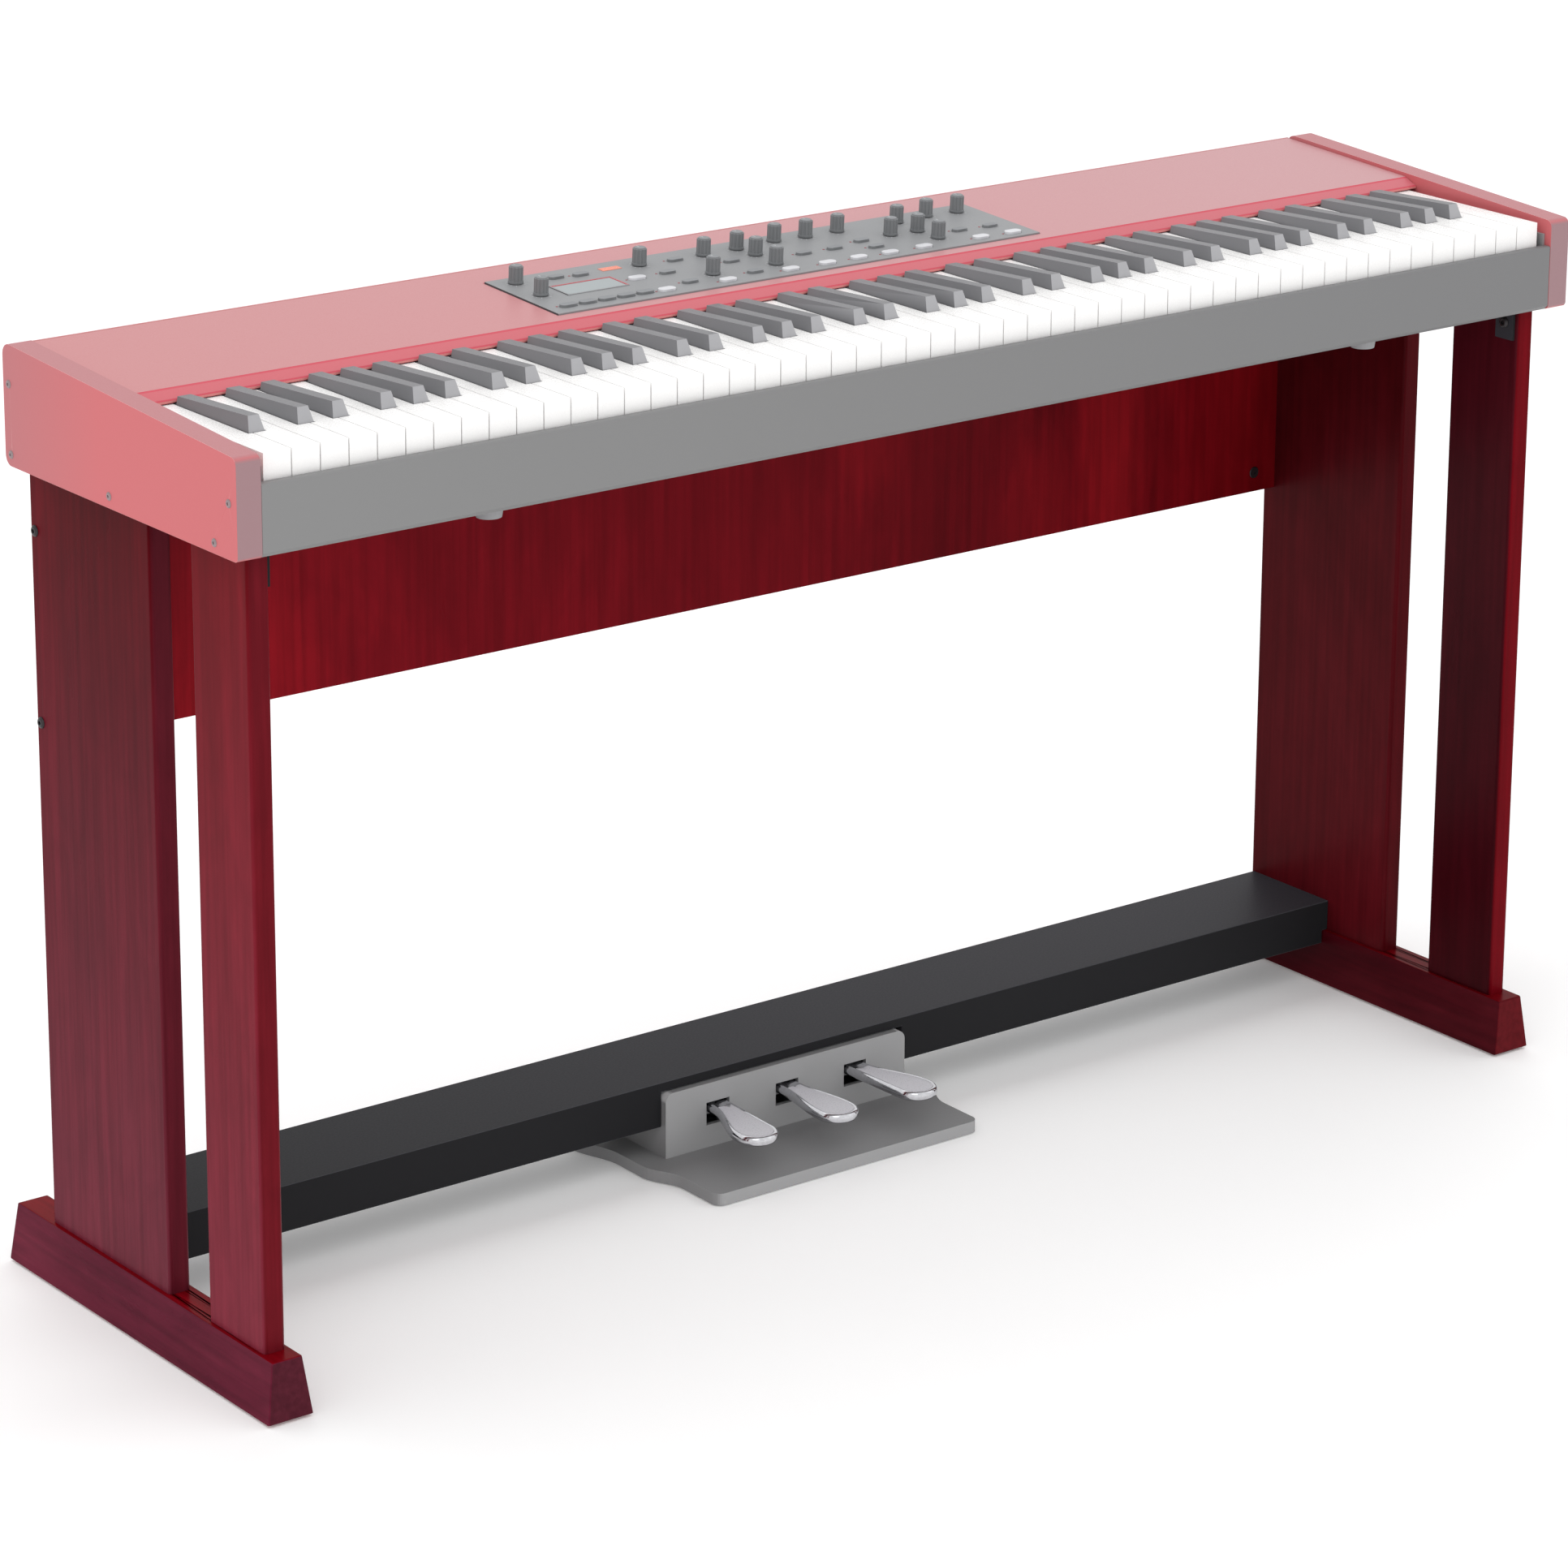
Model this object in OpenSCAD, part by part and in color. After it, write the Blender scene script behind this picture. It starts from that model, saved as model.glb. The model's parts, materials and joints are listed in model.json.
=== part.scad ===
// Digital stage piano on a wooden stand with a three-pedal unit. Sizes are in millimetres.
// +X runs from the bass keys to the treble keys, -Y faces the player and +Z is up.
// The origin is on the floor at the middle of the stand's footprint.

/* [Keyboard] */
// Distance from one white key to the next
key_pitch = 23.5; // [20:0.1:30]
// Gap between neighbouring keys
key_gap = 1; // [0.6:0.1:1.4]
// Key fronts behind the fronts of the side cheeks
key_setback = 9; // [6:0.5:14]
// Length of the visible white key
white_len = 151.5; // [120:0.5:190]
// Length of the wide front part of a white key
head_len = 50; // [40:1:60]
// Height of a white key's front lip
key_lip_h = 21; // [14:0.5:26]
// Thickness of a key's top body
key_body_t = 10; // [6:0.5:12]
// Width of a black key at its foot
sharp_w = 13; // [10:0.1:14]
// Width of a black key at its top
sharp_top_w = 9; // [7:0.1:10]
// Height of a black key at its front
sharp_h = 11.2; // [8:0.1:14]
// Height of a black key at its rear
sharp_rear_h = 6; // [4:0.1:9]
// Distance from the key fronts to the pivot rod
pivot_len = 216; // [190:1:270]
// Radius of the key pivot rod
pivot_r = 2; // [1.5:0.1:2.6]

/* [Case] */
// Thickness of a side cheek
cheek_t = 20; // [14:0.5:28]
// Depth of the case, front to rear
case_d = 321; // [300:1:400]
// Height of the case at its front
case_front_h = 74.5; // [66:0.5:90]
// Height of the case at its rear
case_rear_h = 92.5; // [84:0.5:110]
// Space between the end keys and the cheeks
end_gap = 7; // [5:0.5:12]
// Thickness of the folded steel sheets
sheet_t = 2; // [1:0.1:2.4]
// Depth of the cover's sloping front
nose_l = 12; // [6:0.5:16]
// Thickness of the front rail
rail_t = 7; // [5:0.5:8]

/* [Control panel] */
// Width of the control panel
panel_w = 469; // [390:1:580]
// Depth of the control panel along the slope
panel_d = 99; // [90:1:110]
// Distance of the panel's middle from the keyboard's middle
panel_x = -6; // [-20:0.5:20]
// Panel's front edge behind the front of the case
panel_front = 185; // [182:0.5:200]
// Diameter of a knob at its foot
knob_d = 12; // [9:0.1:14]
// Height of a knob
knob_h = 14; // [10:0.5:20]
// Radius of a knob's shaft
knob_shaft_r = 3; // [2:0.1:3.4]
// Radial running clearance of shafts and rods
run_clear = 0.05; // [0.02:0.01:0.09]
// Clearance round a button in its hole
button_clear = 0.3; // [0.2:0.05:0.4]

/* [Stand] */
// Height of the underside of the case
stand_h = 649.5; // [520:0.5:800]
// Outer faces of the uprights inside the ends of the case
stand_inset = 18; // [12:0.5:30]
// Thickness of the uprights
upright_t = 18; // [14:0.5:24]
// Width of a rear upright
rear_upright_w = 171.5; // [140:0.5:200]
// Width of a front upright
front_upright_w = 76; // [60:0.5:92]
// Front uprights behind the front of the case
front_upright_y = 18; // [10:0.5:24]
// Length of a foot on the floor
foot_l = 376; // [350:1:460]
// Front of the case behind the front ends of the feet
foot_lead = 2.5; // [0:0.5:12]
// Height of a foot
foot_h = 48; // [36:0.5:56]
// Width of a foot on the floor
foot_w = 38; // [30:0.5:46]
// Width of a foot at its top
foot_top_w = 25.5; // [24.5:0.5:30]
// Height of the back panel
back_panel_h = 216; // [170:1:262]
// Thickness of the back panel
back_panel_t = 14; // [12.5:0.5:22]

/* [Pedal bar and pedals] */
// Depth of the pedal bar
bar_d = 97.5; // [80:0.5:100]
// Height of the pedal bar
bar_h = 38; // [34:0.5:46]
// Height of the bar's underside above the floor
bar_z = 37; // [30:0.5:42]
// Thickness of the bar's front and rear boards
bar_board_t = 12; // [10:0.5:14]
// Middle of the pedal unit, from the middle of the stand
pedal_x = 2; // [-60:1:60]
// Distance between the pedals where they leave the housing
pedal_pitch = 70; // [60:1:80]
// Distance between the outer and middle pedal plates
paddle_pitch = 81; // [72:1:90]
// Length of a pedal in front of the housing
pedal_reach = 84; // [70:1:100]
// Width of a pedal plate
paddle_w = 36; // [30:1:42]
// Width of the pedal housing
housing_w = 244; // [230:1:280]

/* [Hidden] */
$fn = 48;

// Colours of the finishes
rose = [0.80, 0.47, 0.50];
grey = [0.54, 0.54, 0.545];
mid_grey = [0.60, 0.60, 0.61];
key_white = [0.95, 0.95, 0.94];
lacquer = [0.40, 0.06, 0.10];
satin_black = [0.14, 0.14, 0.15];
steel = [0.62, 0.62, 0.64];
board_green = [0.10, 0.32, 0.20];

// Overall layout
white_count = 52;
keys_w = white_count * key_pitch;
case_in_w = keys_w + 2 * end_gap;
case_w = case_in_w + 2 * cheek_t;
front = -foot_l / 2 + foot_lead;
eps = 0.01;
fit_gap = 0.2;

// Case: the slope of its top, and heights measured at a distance from its front
slope = atan((case_rear_h - case_front_h) / case_d);
cover_drop = 3;
function cheek_top(y) = stand_h + case_front_h + y * tan(slope);
function cover_top(y) = cheek_top(y) - cover_drop;
tray_front = rail_t + fit_gap;
tray_floor = stand_h + sheet_t;
tray_wall_top = stand_h + case_front_h - 12;
cover_back = case_d - sheet_t - fit_gap;
fall_y = key_setback + white_len;

// Keys
key_drop = 2.2;
key_top = stand_h + case_front_h - key_drop;
key_under = key_top - key_body_t;
head_end = key_setback + head_len;
key_slide = fall_y + 6;
arm_z = key_top - key_lip_h + 1;
pivot_y = key_setback + pivot_len;
pivot_z = arm_z + 5;
// Middle of each black key from the seam on its left, in the order A, C, D, F, G
sharp_shift = [3.8, -2.8, 2.8, -3.8, 0];
// Which black key stands right of each white key, in the order A to G: -1 is none
sharp_of = [0, -1, 1, 2, -1, 3, 4];
white_names = 7;
rail_top = key_top - key_lip_h + 2;

// Control panel: a grid of 60 columns and 20 rows, from the front left corner
grid_x = panel_w / 60;
grid_y = panel_d / 20;
panel_gap = 0.5;
panel_rise = 1;
panel_lip = 6;
panel_t = 3.2;
pcb_z = -14;
pcb_t = 1.6;
knob_lift = panel_rise + 0.6;
button_proud = panel_rise + 2;
button_travel = 1.2;
dark_size = [14, 6.5];
oval_size = [15, 8];
soft_pitch = 2.28 * grid_x;
soft_size = [soft_pitch - 2.6, 7];
lamp_size = [18, 7.5];
display_size = [54, 23];
display_at = [8.1, 10.1];
lamp_at = [13.5, 16.6];
knob_at = [[2.4, 17], [2.2, 9.7], [16.8, 16], [24.5, 15.6], [21.3, 6.2], [28.8, 16], [29.2, 11.8],
    [33.9, 16.8], [29, 6], [37.7, 16.4], [41.8, 16.5], [45.8, 10.6], [49.3, 16.1], [49.1, 10.2],
    [53.5, 16.8], [49.4, 5.4], [57.4, 16.4]];
dark_at = [[6.9, 16.4], [9.6, 15.8], [20.9, 15.4], [17.6, 10.2], [17.6, 4.2], [25.6, 10.5],
    [25.4, 3.8], [33.7, 8.5], [37.6, 8.5], [41.7, 9.9], [41.7, 6], [53.1, 7.2], [56.9, 6.8]];
oval_at = [[13.8, 10], [14, 2.5], [21.3, 2.2], [29.1, 2.3], [33.7, 2.3], [37.7, 2.4], [41.6, 2.2],
    [46, 2.3], [53.4, 2.3], [57.5, 2.1]];
soft_at = [for (i = [0:4]) [(2.4 + 2.28 * i), 2.8]];

// Stand
stand_w = case_w - 2 * stand_inset;
upright_mid = stand_w / 2 - upright_t / 2;
upright_in = stand_w / 2 - upright_t;
upright_h = stand_h - foot_h;
foot_taper = 4;
pad_h = 2;
pad_r = 11;
function foot_half(z) = foot_w / 2 - (foot_w - foot_top_w) / 2 * (z - pad_h) / (foot_h - pad_h);
panel_back = case_d - 0.5;
rear_upright_y = case_d - rear_upright_w;
panel_mid_y = panel_back - back_panel_t / 2;
bolt_z = [stand_h - 52, stand_h - back_panel_h + 16];
bolt_r = 3;
bolt_head_r = 4.5;
bolt_reach = 28;
nut_r = 5;
foot_bolt_r = 4;
foot_bolt_rise = 40;
head_h = 2.6;
bolt_clear = 0.2;
// Middle lines of the bolts that rise through a foot, two into the rear upright, one in front
foot_bolt_y = [front_upright_y + front_upright_w / 2, rear_upright_y + rear_upright_w / 4,
    rear_upright_y + rear_upright_w * 3 / 4];
bracket_l = 28;
bracket_w = 20;
bracket_t = 2.5;
bracket_y = [front_upright_y + 13, rear_upright_y + 24];
screw_r = 2.5;
screw_len = 13;

// Pedal bar
bar_back = case_d - 3.5;
bar_front = bar_back - bar_d;
bar_skin = 3;
bar_top = bar_z + bar_h;
bar_half = upright_mid - foot_half(bar_z) - 1;
end_plate_t = upright_in - bar_half;
bar_reach = upright_in - fit_gap / 2;
end_plate_z = foot_h + 0.5;
end_plate_h = bar_top - bar_skin - 1 - end_plate_z;
end_screw_y = [bar_front + bar_board_t + 16, bar_back - bar_board_t - 16];
end_screw_z = end_plate_z + end_plate_h / 2;
cutout_gap = 1;

// Pedal unit
base_t = 10;
base_z = 1;
base_top = base_z + base_t;
base_front = bar_front - 90;
base_back = bar_front + 80;
housing_face = bar_front - 5;
housing_back = bar_front + 76;
housing_top = bar_top - bar_skin - 6;
housing_wall = 4;
shaft_r = 4;
shaft_y = housing_back - 16;
pedal_t = 8;
pedal_mid_z = 44;
neck_w = 20;
slot_gap = 1.5;
slot_low = 30;

// ---------- shared shapes ----------

module rounded_rect(w, h, r) {
    translate([r, 0]) square([w - 2 * r, h]);
    translate([0, r]) square([w, h - 2 * r]);
    for (x = [r, w - r], y = [r, h - r]) translate([x, y]) circle(r = r);
}

module slot_shape(size, grow = 0) {
    r = size[1] / 2 + grow;
    half = (size[0] - size[1]) / 2;
    translate([-half, -r]) square([2 * half, 2 * r]);
    for (s = [-1, 1]) translate([s * half, 0]) circle(r = r);
}

// Extrudes a profile drawn in (y, z) along X, centred on x
module along_x(len, x = 0) {
    translate([x - len / 2, 0, 0]) rotate([90, 0, 90]) linear_extrude(len) children();
}

module rod_x(r, x1, x2) {
    translate([x1, 0, 0]) rotate([0, 90, 0]) cylinder(r = r, h = x2 - x1);
}

module rod_y(r, y1, y2) {
    translate([0, y1, 0]) rotate([-90, 0, 0]) cylinder(r = r, h = y2 - y1);
}

// Places children on the cover's sloping plane, x from the panel's left edge, y from its front
module on_panel() {
    translate([panel_x - panel_w / 2, front + panel_front, cover_top(panel_front)])
        rotate([slope, 0, 0]) children();
}

module at_grid(p) {
    translate([p[0] * grid_x, p[1] * grid_y, 0]) children();
}

// ---------- stand ----------

module foot(side) {
    color(lacquer) translate([side * upright_mid, 0, 0]) difference() {
        intersection() {
            translate([0, foot_l / 2, 0]) rotate([90, 0, 0]) linear_extrude(foot_l)
                polygon([[-foot_w / 2, pad_h], [foot_w / 2, pad_h],
                    [foot_top_w / 2, foot_h], [-foot_top_w / 2, foot_h]]);
            along_x(foot_w)
                polygon([[-foot_l / 2, pad_h], [foot_l / 2, pad_h],
                    [foot_l / 2 - foot_taper, foot_h], [-foot_l / 2 + foot_taper, foot_h]]);
        }
        for (y = foot_bolt_y) translate([0, front + y, 0]) {
            cylinder(r = foot_bolt_r + bolt_clear, h = foot_h + 1);
            cylinder(r = 2 * foot_bolt_r + bolt_clear, h = pad_h + 8);
        }
    }
}

module upright(side, y, w) {
    in_face = side * upright_in;
    color(lacquer) difference() {
        translate([side * upright_mid - upright_t / 2, front + y, foot_h])
            linear_extrude(upright_h) rounded_rect(upright_t, w, 3);
        for (by = foot_bolt_y) translate([side * upright_mid, front + by, foot_h - 1])
            cylinder(r = foot_bolt_r + bolt_clear, h = foot_bolt_rise + 1.5);
        for (bz = bolt_z) translate([side * upright_mid, front + panel_mid_y, bz])
            rod_x(bolt_r + bolt_clear, -upright_t, upright_t);
        for (sy = end_screw_y) translate([in_face, front + sy, end_screw_z])
            rod_x(screw_r + bolt_clear, -screw_len, screw_len);
        for (sy = bracket_y) translate([in_face, front + sy, stand_h - bracket_l / 2])
            rod_x(screw_r + bolt_clear, -screw_len, screw_len);
    }
}

module left_foot() { foot(-1); }
module right_foot() { foot(1); }
module left_rear_upright() { upright(-1, rear_upright_y, rear_upright_w); }
module left_front_upright() { upright(-1, front_upright_y, front_upright_w); }
module right_rear_upright() { upright(1, rear_upright_y, rear_upright_w); }
module right_front_upright() { upright(1, front_upright_y, front_upright_w); }

module back_panel() {
    w = 2 * upright_in - fit_gap;
    color(lacquer) difference() {
        translate([-w / 2, front + panel_back - back_panel_t, stand_h - 1 - back_panel_h])
            cube([w, back_panel_t, back_panel_h]);
        for (side = [-1, 1], bz = bolt_z) translate([side * upright_in, front, bz]) {
            translate([0, panel_mid_y, 0])
                rod_x(bolt_r + bolt_clear, -bolt_reach - nut_r, bolt_reach + nut_r);
            translate([-side * (bolt_reach - 4), 0, 0])
                rod_y(nut_r + bolt_clear, panel_back - back_panel_t - 1, panel_back - 2);
        }
    }
}

// Bar: a top skin over a front and a rear board, with the front board cut away for the pedals
module pedal_bar() {
    color(satin_black) {
        translate([-bar_reach, front + bar_front, bar_top - bar_skin]) cube([2 * bar_reach, bar_d, bar_skin]);
        difference() {
            bar_board(bar_front);
            translate([pedal_x - housing_w / 2 - cutout_gap, front + bar_front - 1, bar_z - 1])
                cube([housing_w + 2 * cutout_gap, bar_board_t + 2, housing_top - bar_z + 1 + cutout_gap]);
        }
        bar_board(bar_back - bar_board_t);
    }
}

// A board of the bar: its ends are notched to pass over the feet
module bar_board(y) {
    translate([-bar_half, front + y, bar_z]) cube([2 * bar_half, bar_board_t, bar_h - bar_skin]);
    translate([-bar_reach, front + y, end_plate_z])
        cube([2 * bar_reach, bar_board_t, bar_top - bar_skin - end_plate_z]);
}

// Blocks that hold the bar's ends, and angle brackets that hold the case to the uprights
module stand_brackets() {
    color(satin_black) for (side = [-1, 1]) {
        difference() {
            translate([side > 0 ? bar_half : -bar_half - end_plate_t,
                front + bar_front + bar_board_t + 2, end_plate_z])
                cube([end_plate_t, bar_d - 2 * bar_board_t - 4, end_plate_h]);
            for (sy = end_screw_y) translate([side * bar_half, front + sy, end_screw_z])
                rod_x(screw_r + bolt_clear, -end_plate_t - 1, end_plate_t + 1);
        }
        for (sy = bracket_y) translate([side * upright_in, front + sy, stand_h])
            mirror([side > 0 ? 1 : 0, 0, 0]) case_bracket();
    }
}

module case_bracket() {
    difference() {
        union() {
            translate([0, -bracket_w / 2, -bracket_l]) cube([bracket_t, bracket_w, bracket_l]);
            translate([0, -bracket_w / 2, -bracket_t]) cube([bracket_l, bracket_w, bracket_t]);
        }
        translate([0, 0, -bracket_l / 2]) rod_x(screw_r + bolt_clear, -1, bracket_t + 1);
        translate([bracket_l / 2, 0, -bracket_t - 1]) cylinder(r = screw_r + bolt_clear, h = bracket_t + 2);
    }
}

// A screw along +Z with its head's underside at the origin
module screw(r, head_r, len, high = head_h) {
    translate([0, 0, -high]) cylinder(r1 = head_r * 0.75, r2 = head_r, h = high);
    translate([0, 0, -eps]) cylinder(r = r, h = len);
}

// Positions of the screws that hold each cheek, as distances from the front and above the case
cheek_screws = [[10.4, 40.5], [30.4, 8], [case_d / 2 + 12.5, 9], [case_d - 8.2, 9],
    [case_d - 7.8, case_front_h - 12.5]];
cheek_screw_len = cheek_t + sheet_t + fit_gap + 1;
cheek_screw_r = 1.75;

module fasteners() {
    color(steel) for (side = [-1, 1]) {
        out = side > 0 ? [0, -90, 0] : [0, 90, 0];
        in = side > 0 ? [0, 90, 0] : [0, -90, 0];
        for (bz = bolt_z) {
            translate([side * stand_w / 2, front + panel_mid_y, bz]) rotate(out)
                screw(bolt_r, bolt_head_r, upright_t + bolt_reach, 2);
            difference() {
                translate([side * (upright_in - bolt_reach + 4), front, bz])
                    rod_y(nut_r, panel_back - back_panel_t - 0.5, panel_back - 2.5);
                translate([side * upright_in, front + panel_mid_y, bz])
                    rod_x(bolt_r + bolt_clear / 2, -bolt_reach - nut_r, bolt_reach + nut_r);
            }
        }
        for (y = foot_bolt_y) translate([side * upright_mid, front + y, pad_h + 8])
            screw(foot_bolt_r, 2 * foot_bolt_r - 0.5, foot_h - pad_h - 8 + foot_bolt_rise);
        for (sy = end_screw_y) translate([side * bar_half, front + sy, end_screw_z]) rotate(in)
            screw(screw_r, 2 * screw_r, end_plate_t + screw_len - 1);
        for (sy = bracket_y) translate([side * (upright_in - bracket_t), front + sy, stand_h - bracket_l / 2])
            rotate(in) screw(screw_r, 2 * screw_r, bracket_t + screw_len - 1);
        for (sy = bracket_y) translate([side * (upright_in - bracket_l / 2), front + sy, stand_h - bracket_t])
            screw(screw_r, 2 * screw_r, bracket_t + sheet_t + frame_t);
        for (p = cheek_screws) translate([side * case_w / 2, front + p[0], stand_h + p[1]]) rotate(out)
            screw(cheek_screw_r, 3.2, cheek_screw_len, 1);
    }
}

module rubber_pads() {
    color([0.45, 0.45, 0.46]) {
        for (side = [-1, 1], y = [24, foot_l * 0.35, foot_l - 24])
            translate([side * upright_mid, y - foot_l / 2, 0]) cylinder(r = pad_r, h = pad_h);
        for (x = [-1, 1], y = [base_front + 16, base_back - 16])
            translate([pedal_x + x * 110, front + y, 0]) cylinder(r = 8, h = base_z);
        for (x = [-1, 1], y = [case_foot_y, case_d - 60])
            translate([case_foot_x + x * (keys_w / 2 - 187), front + y, stand_h - case_foot_h])
                cylinder(r1 = case_foot_r - 1.5, r2 = case_foot_r, h = case_foot_h);
    }
}
case_foot_x = 10;
case_foot_y = 24;
case_foot_r = 11;
case_foot_h = 9;

// ---------- case ----------

module cheek(side) {
    zt = [cheek_top(0), cheek_top(case_d)];
    color(rose) difference() {
        translate([side * (case_in_w + cheek_t) / 2, front, 0]) along_x(cheek_t) hull() {
            translate([4, stand_h + 4]) circle(r = 4, $fn = 32);
            translate([case_d - 8, stand_h + 8]) circle(r = 8, $fn = 32);
            translate([case_d - 9, zt[1] - 9.5]) circle(r = 9, $fn = 32);
            translate([6, zt[0] - 6]) circle(r = 6, $fn = 32);
        }
        for (p = cheek_screws) translate([side * case_w / 2, front + p[0], stand_h + p[1]])
            rod_x(cheek_screw_r + bolt_clear, -cheek_t - 1, cheek_t + 1);
    }
}

module left_cheek() { cheek(-1); }
module right_cheek() { cheek(1); }

lip_clear = 0.8;
lip_low = key_top + lip_clear;
hem_t = 1.2;
hem_h = 3;
cover_w = case_in_w - 2 * fit_gap;

// The cover's section in (y, z): from the lip up round the front and back along the slope
nose_bend = 1.5;
nose_end = fall_y + nose_l;
nose_low = lip_low + hem_h;

// Folded sheet with a thicker hem along its front edge and an opening for the control panel
module top_cover() {
    color(rose) difference() {
        translate([0, front, 0]) along_x(cover_w) polygon([[fall_y - hem_t, lip_low],
            [fall_y - hem_t, nose_low - hem_t], [fall_y, nose_low],
            [nose_end - nose_bend, cover_top(nose_end) - nose_bend * 0.6], [nose_end, cover_top(nose_end)],
            [cover_back, cover_top(cover_back)], [cover_back, cover_top(cover_back) - sheet_t],
            [nose_end, cover_top(nose_end) - sheet_t], [fall_y + sheet_t, nose_low - sheet_t],
            [fall_y + sheet_t, lip_low]]);
        on_panel() translate([-panel_gap, -panel_gap, -sheet_t - 2])
            cube([panel_w + 2 * panel_gap, panel_d + 2 * panel_gap, sheet_t + 6]);
    }
}

// Sockets along the rear panel: their distances from its middle
socket_z = stand_h + 42;
jack_x = [-150, -128, -106, -84, -62];
jack_r = 3.2;
jack_body = [16, 24, 18];
jack_collar_r = 4.8;
din_x = [15, 45];
din_r = 8;
usb_x = -25;
usb_size = [12, 11];
inlet_x = -470;
inlet_size = [28, 20];
switch_x = -520;
switch_size = [14, 21];

module rear_panel() {
    color(rose) difference() {
        translate([-cover_w / 2, front + case_d - sheet_t, stand_h + sheet_t + fit_gap])
            cube([cover_w, sheet_t, cover_top(case_d - sheet_t) - stand_h - sheet_t - fit_gap]);
        translate([0, front, socket_z]) {
            for (x = jack_x) translate([x, 0, 0]) rod_y(jack_collar_r + fit_gap, case_d - 5, case_d + 1);
            for (x = din_x) translate([x, 0, 0]) rod_y(din_r + fit_gap, case_d - 5, case_d + 1);
            rear_window(usb_x, usb_size, fit_gap);
            rear_window(inlet_x, inlet_size, fit_gap);
            rear_window(switch_x, switch_size, fit_gap);
        }
    }
}

module rear_window(x, size, grow) {
    translate([x - size[0] / 2 - grow, case_d - 5, -size[1] / 2 - grow])
        cube([size[0] + 2 * grow, 6, size[1] + 2 * grow]);
}

module rear_sockets() {
    inside = case_d - sheet_t;
    color([0.2, 0.2, 0.21]) translate([0, front, socket_z]) {
        for (x = jack_x) translate([x, 0, 0]) difference() {
            union() {
                translate([-jack_body[0] / 2, inside - jack_body[1], -jack_body[2] / 2]) cube(jack_body);
                rod_y(jack_collar_r, inside - 1, case_d + 3);
                translate([0, case_d, 0]) rotate([-90, 0, 0]) cylinder(r = 7, h = 2, $fn = 6);
            }
            rod_y(jack_r, inside - jack_body[1] + 2, case_d + 4);
        }
        for (x = din_x) translate([x, 0, 0]) difference() {
            rod_y(din_r, inside - 12, case_d + 0.5);
            rod_y(din_r - 1, inside - 8, case_d + 1);
        }
        difference() {
            translate([usb_x - usb_size[0] / 2, inside - 14, -usb_size[1] / 2])
                cube([usb_size[0], 14 + sheet_t + 0.5, usb_size[1]]);
            translate([usb_x - usb_size[0] / 2 + 1.5, inside - 10, -usb_size[1] / 2 + 1.5])
                cube([usb_size[0] - 3, 14, usb_size[1] - 3]);
        }
        difference() {
            translate([inlet_x - inlet_size[0] / 2, inside - 20, -inlet_size[1] / 2])
                cube([inlet_size[0], 20 + sheet_t + 0.5, inlet_size[1]]);
            translate([inlet_x - inlet_size[0] / 2 + 2, inside - 15, -inlet_size[1] / 2 + 2])
                cube([inlet_size[0] - 4, 20, inlet_size[1] - 4]);
        }
        switch_frame();
    }
}

switch_wall = 1.5;
rocker_pin_r = 1.5;
rocker_depth = 7;

// Frame round the rocker, with the hinge holes in its two cheeks
module switch_frame() {
    inside = case_d - sheet_t;
    w = switch_size[0];
    h = switch_size[1];
    difference() {
        translate([switch_x - w / 2, inside - 16, -h / 2]) cube([w, 16 + sheet_t + 0.5, h]);
        translate([switch_x - w / 2 + switch_wall, inside - 13, -h / 2 + switch_wall])
            cube([w - 2 * switch_wall, 20, h - 2 * switch_wall]);
        translate([switch_x, inside - rocker_depth, 0])
            rod_x(rocker_pin_r + run_clear, -w / 2 + 0.5, w / 2 - 0.5);
    }
}

rocker_tilt = 10;

// Rocker: two flats at a shallow angle, tilted about its pin
module power_switch() {
    w = switch_size[0] - 2 * switch_wall - 0.6;
    half = switch_size[1] / 2 - switch_wall - 2;
    color([0.12, 0.12, 0.13]) translate([switch_x, front + case_d - sheet_t - rocker_depth, socket_z]) {
        along_x(w) rotate(rocker_tilt) polygon([[-3, 0], [2, -half + 1], [8.5, -half], [7.6, 0],
            [8.5, half], [2, half - 1]]);
        rod_x(rocker_pin_r, -switch_size[0] / 2 + 0.7, switch_size[0] / 2 - 0.7);
    }
}

tray_front_top = key_top - key_lip_h - 13;

module bottom_tray() {
    w = case_in_w - 2 * fit_gap;
    color(mid_grey) difference() {
        union() {
            translate([-w / 2, front + tray_front, stand_h]) cube([w, case_d - tray_front, sheet_t]);
            translate([-w / 2, front + tray_front, stand_h])
                cube([w, sheet_t - fit_gap, tray_front_top - stand_h]);
            for (side = [-1, 1]) translate([side > 0 ? w / 2 - sheet_t : -w / 2, front + tray_front, stand_h])
                cube([sheet_t, cover_back - tray_front, tray_wall_top - stand_h]);
        }
        for (side = [-1, 1], p = cheek_screws)
            translate([side * w / 2, front + p[0], stand_h + p[1]])
                rod_x(cheek_screw_r + bolt_clear, -sheet_t - 1, sheet_t + 1);
        for (side = [-1, 1], sy = bracket_y)
            translate([side * (upright_in - bracket_l / 2), front + sy, stand_h - 1])
                cylinder(r = screw_r + bolt_clear, h = sheet_t + 2);
    }
}

module front_rail() {
    w = case_in_w - 2 * fit_gap;
    color(grey) translate([0, front, 0]) along_x(w)
        polygon([[3.5, stand_h], [rail_t, stand_h], [rail_t, rail_top], [1, rail_top],
            [0, rail_top - 1], [0, stand_h + 3.5]]);
}

// ---------- keys and their frame ----------

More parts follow.
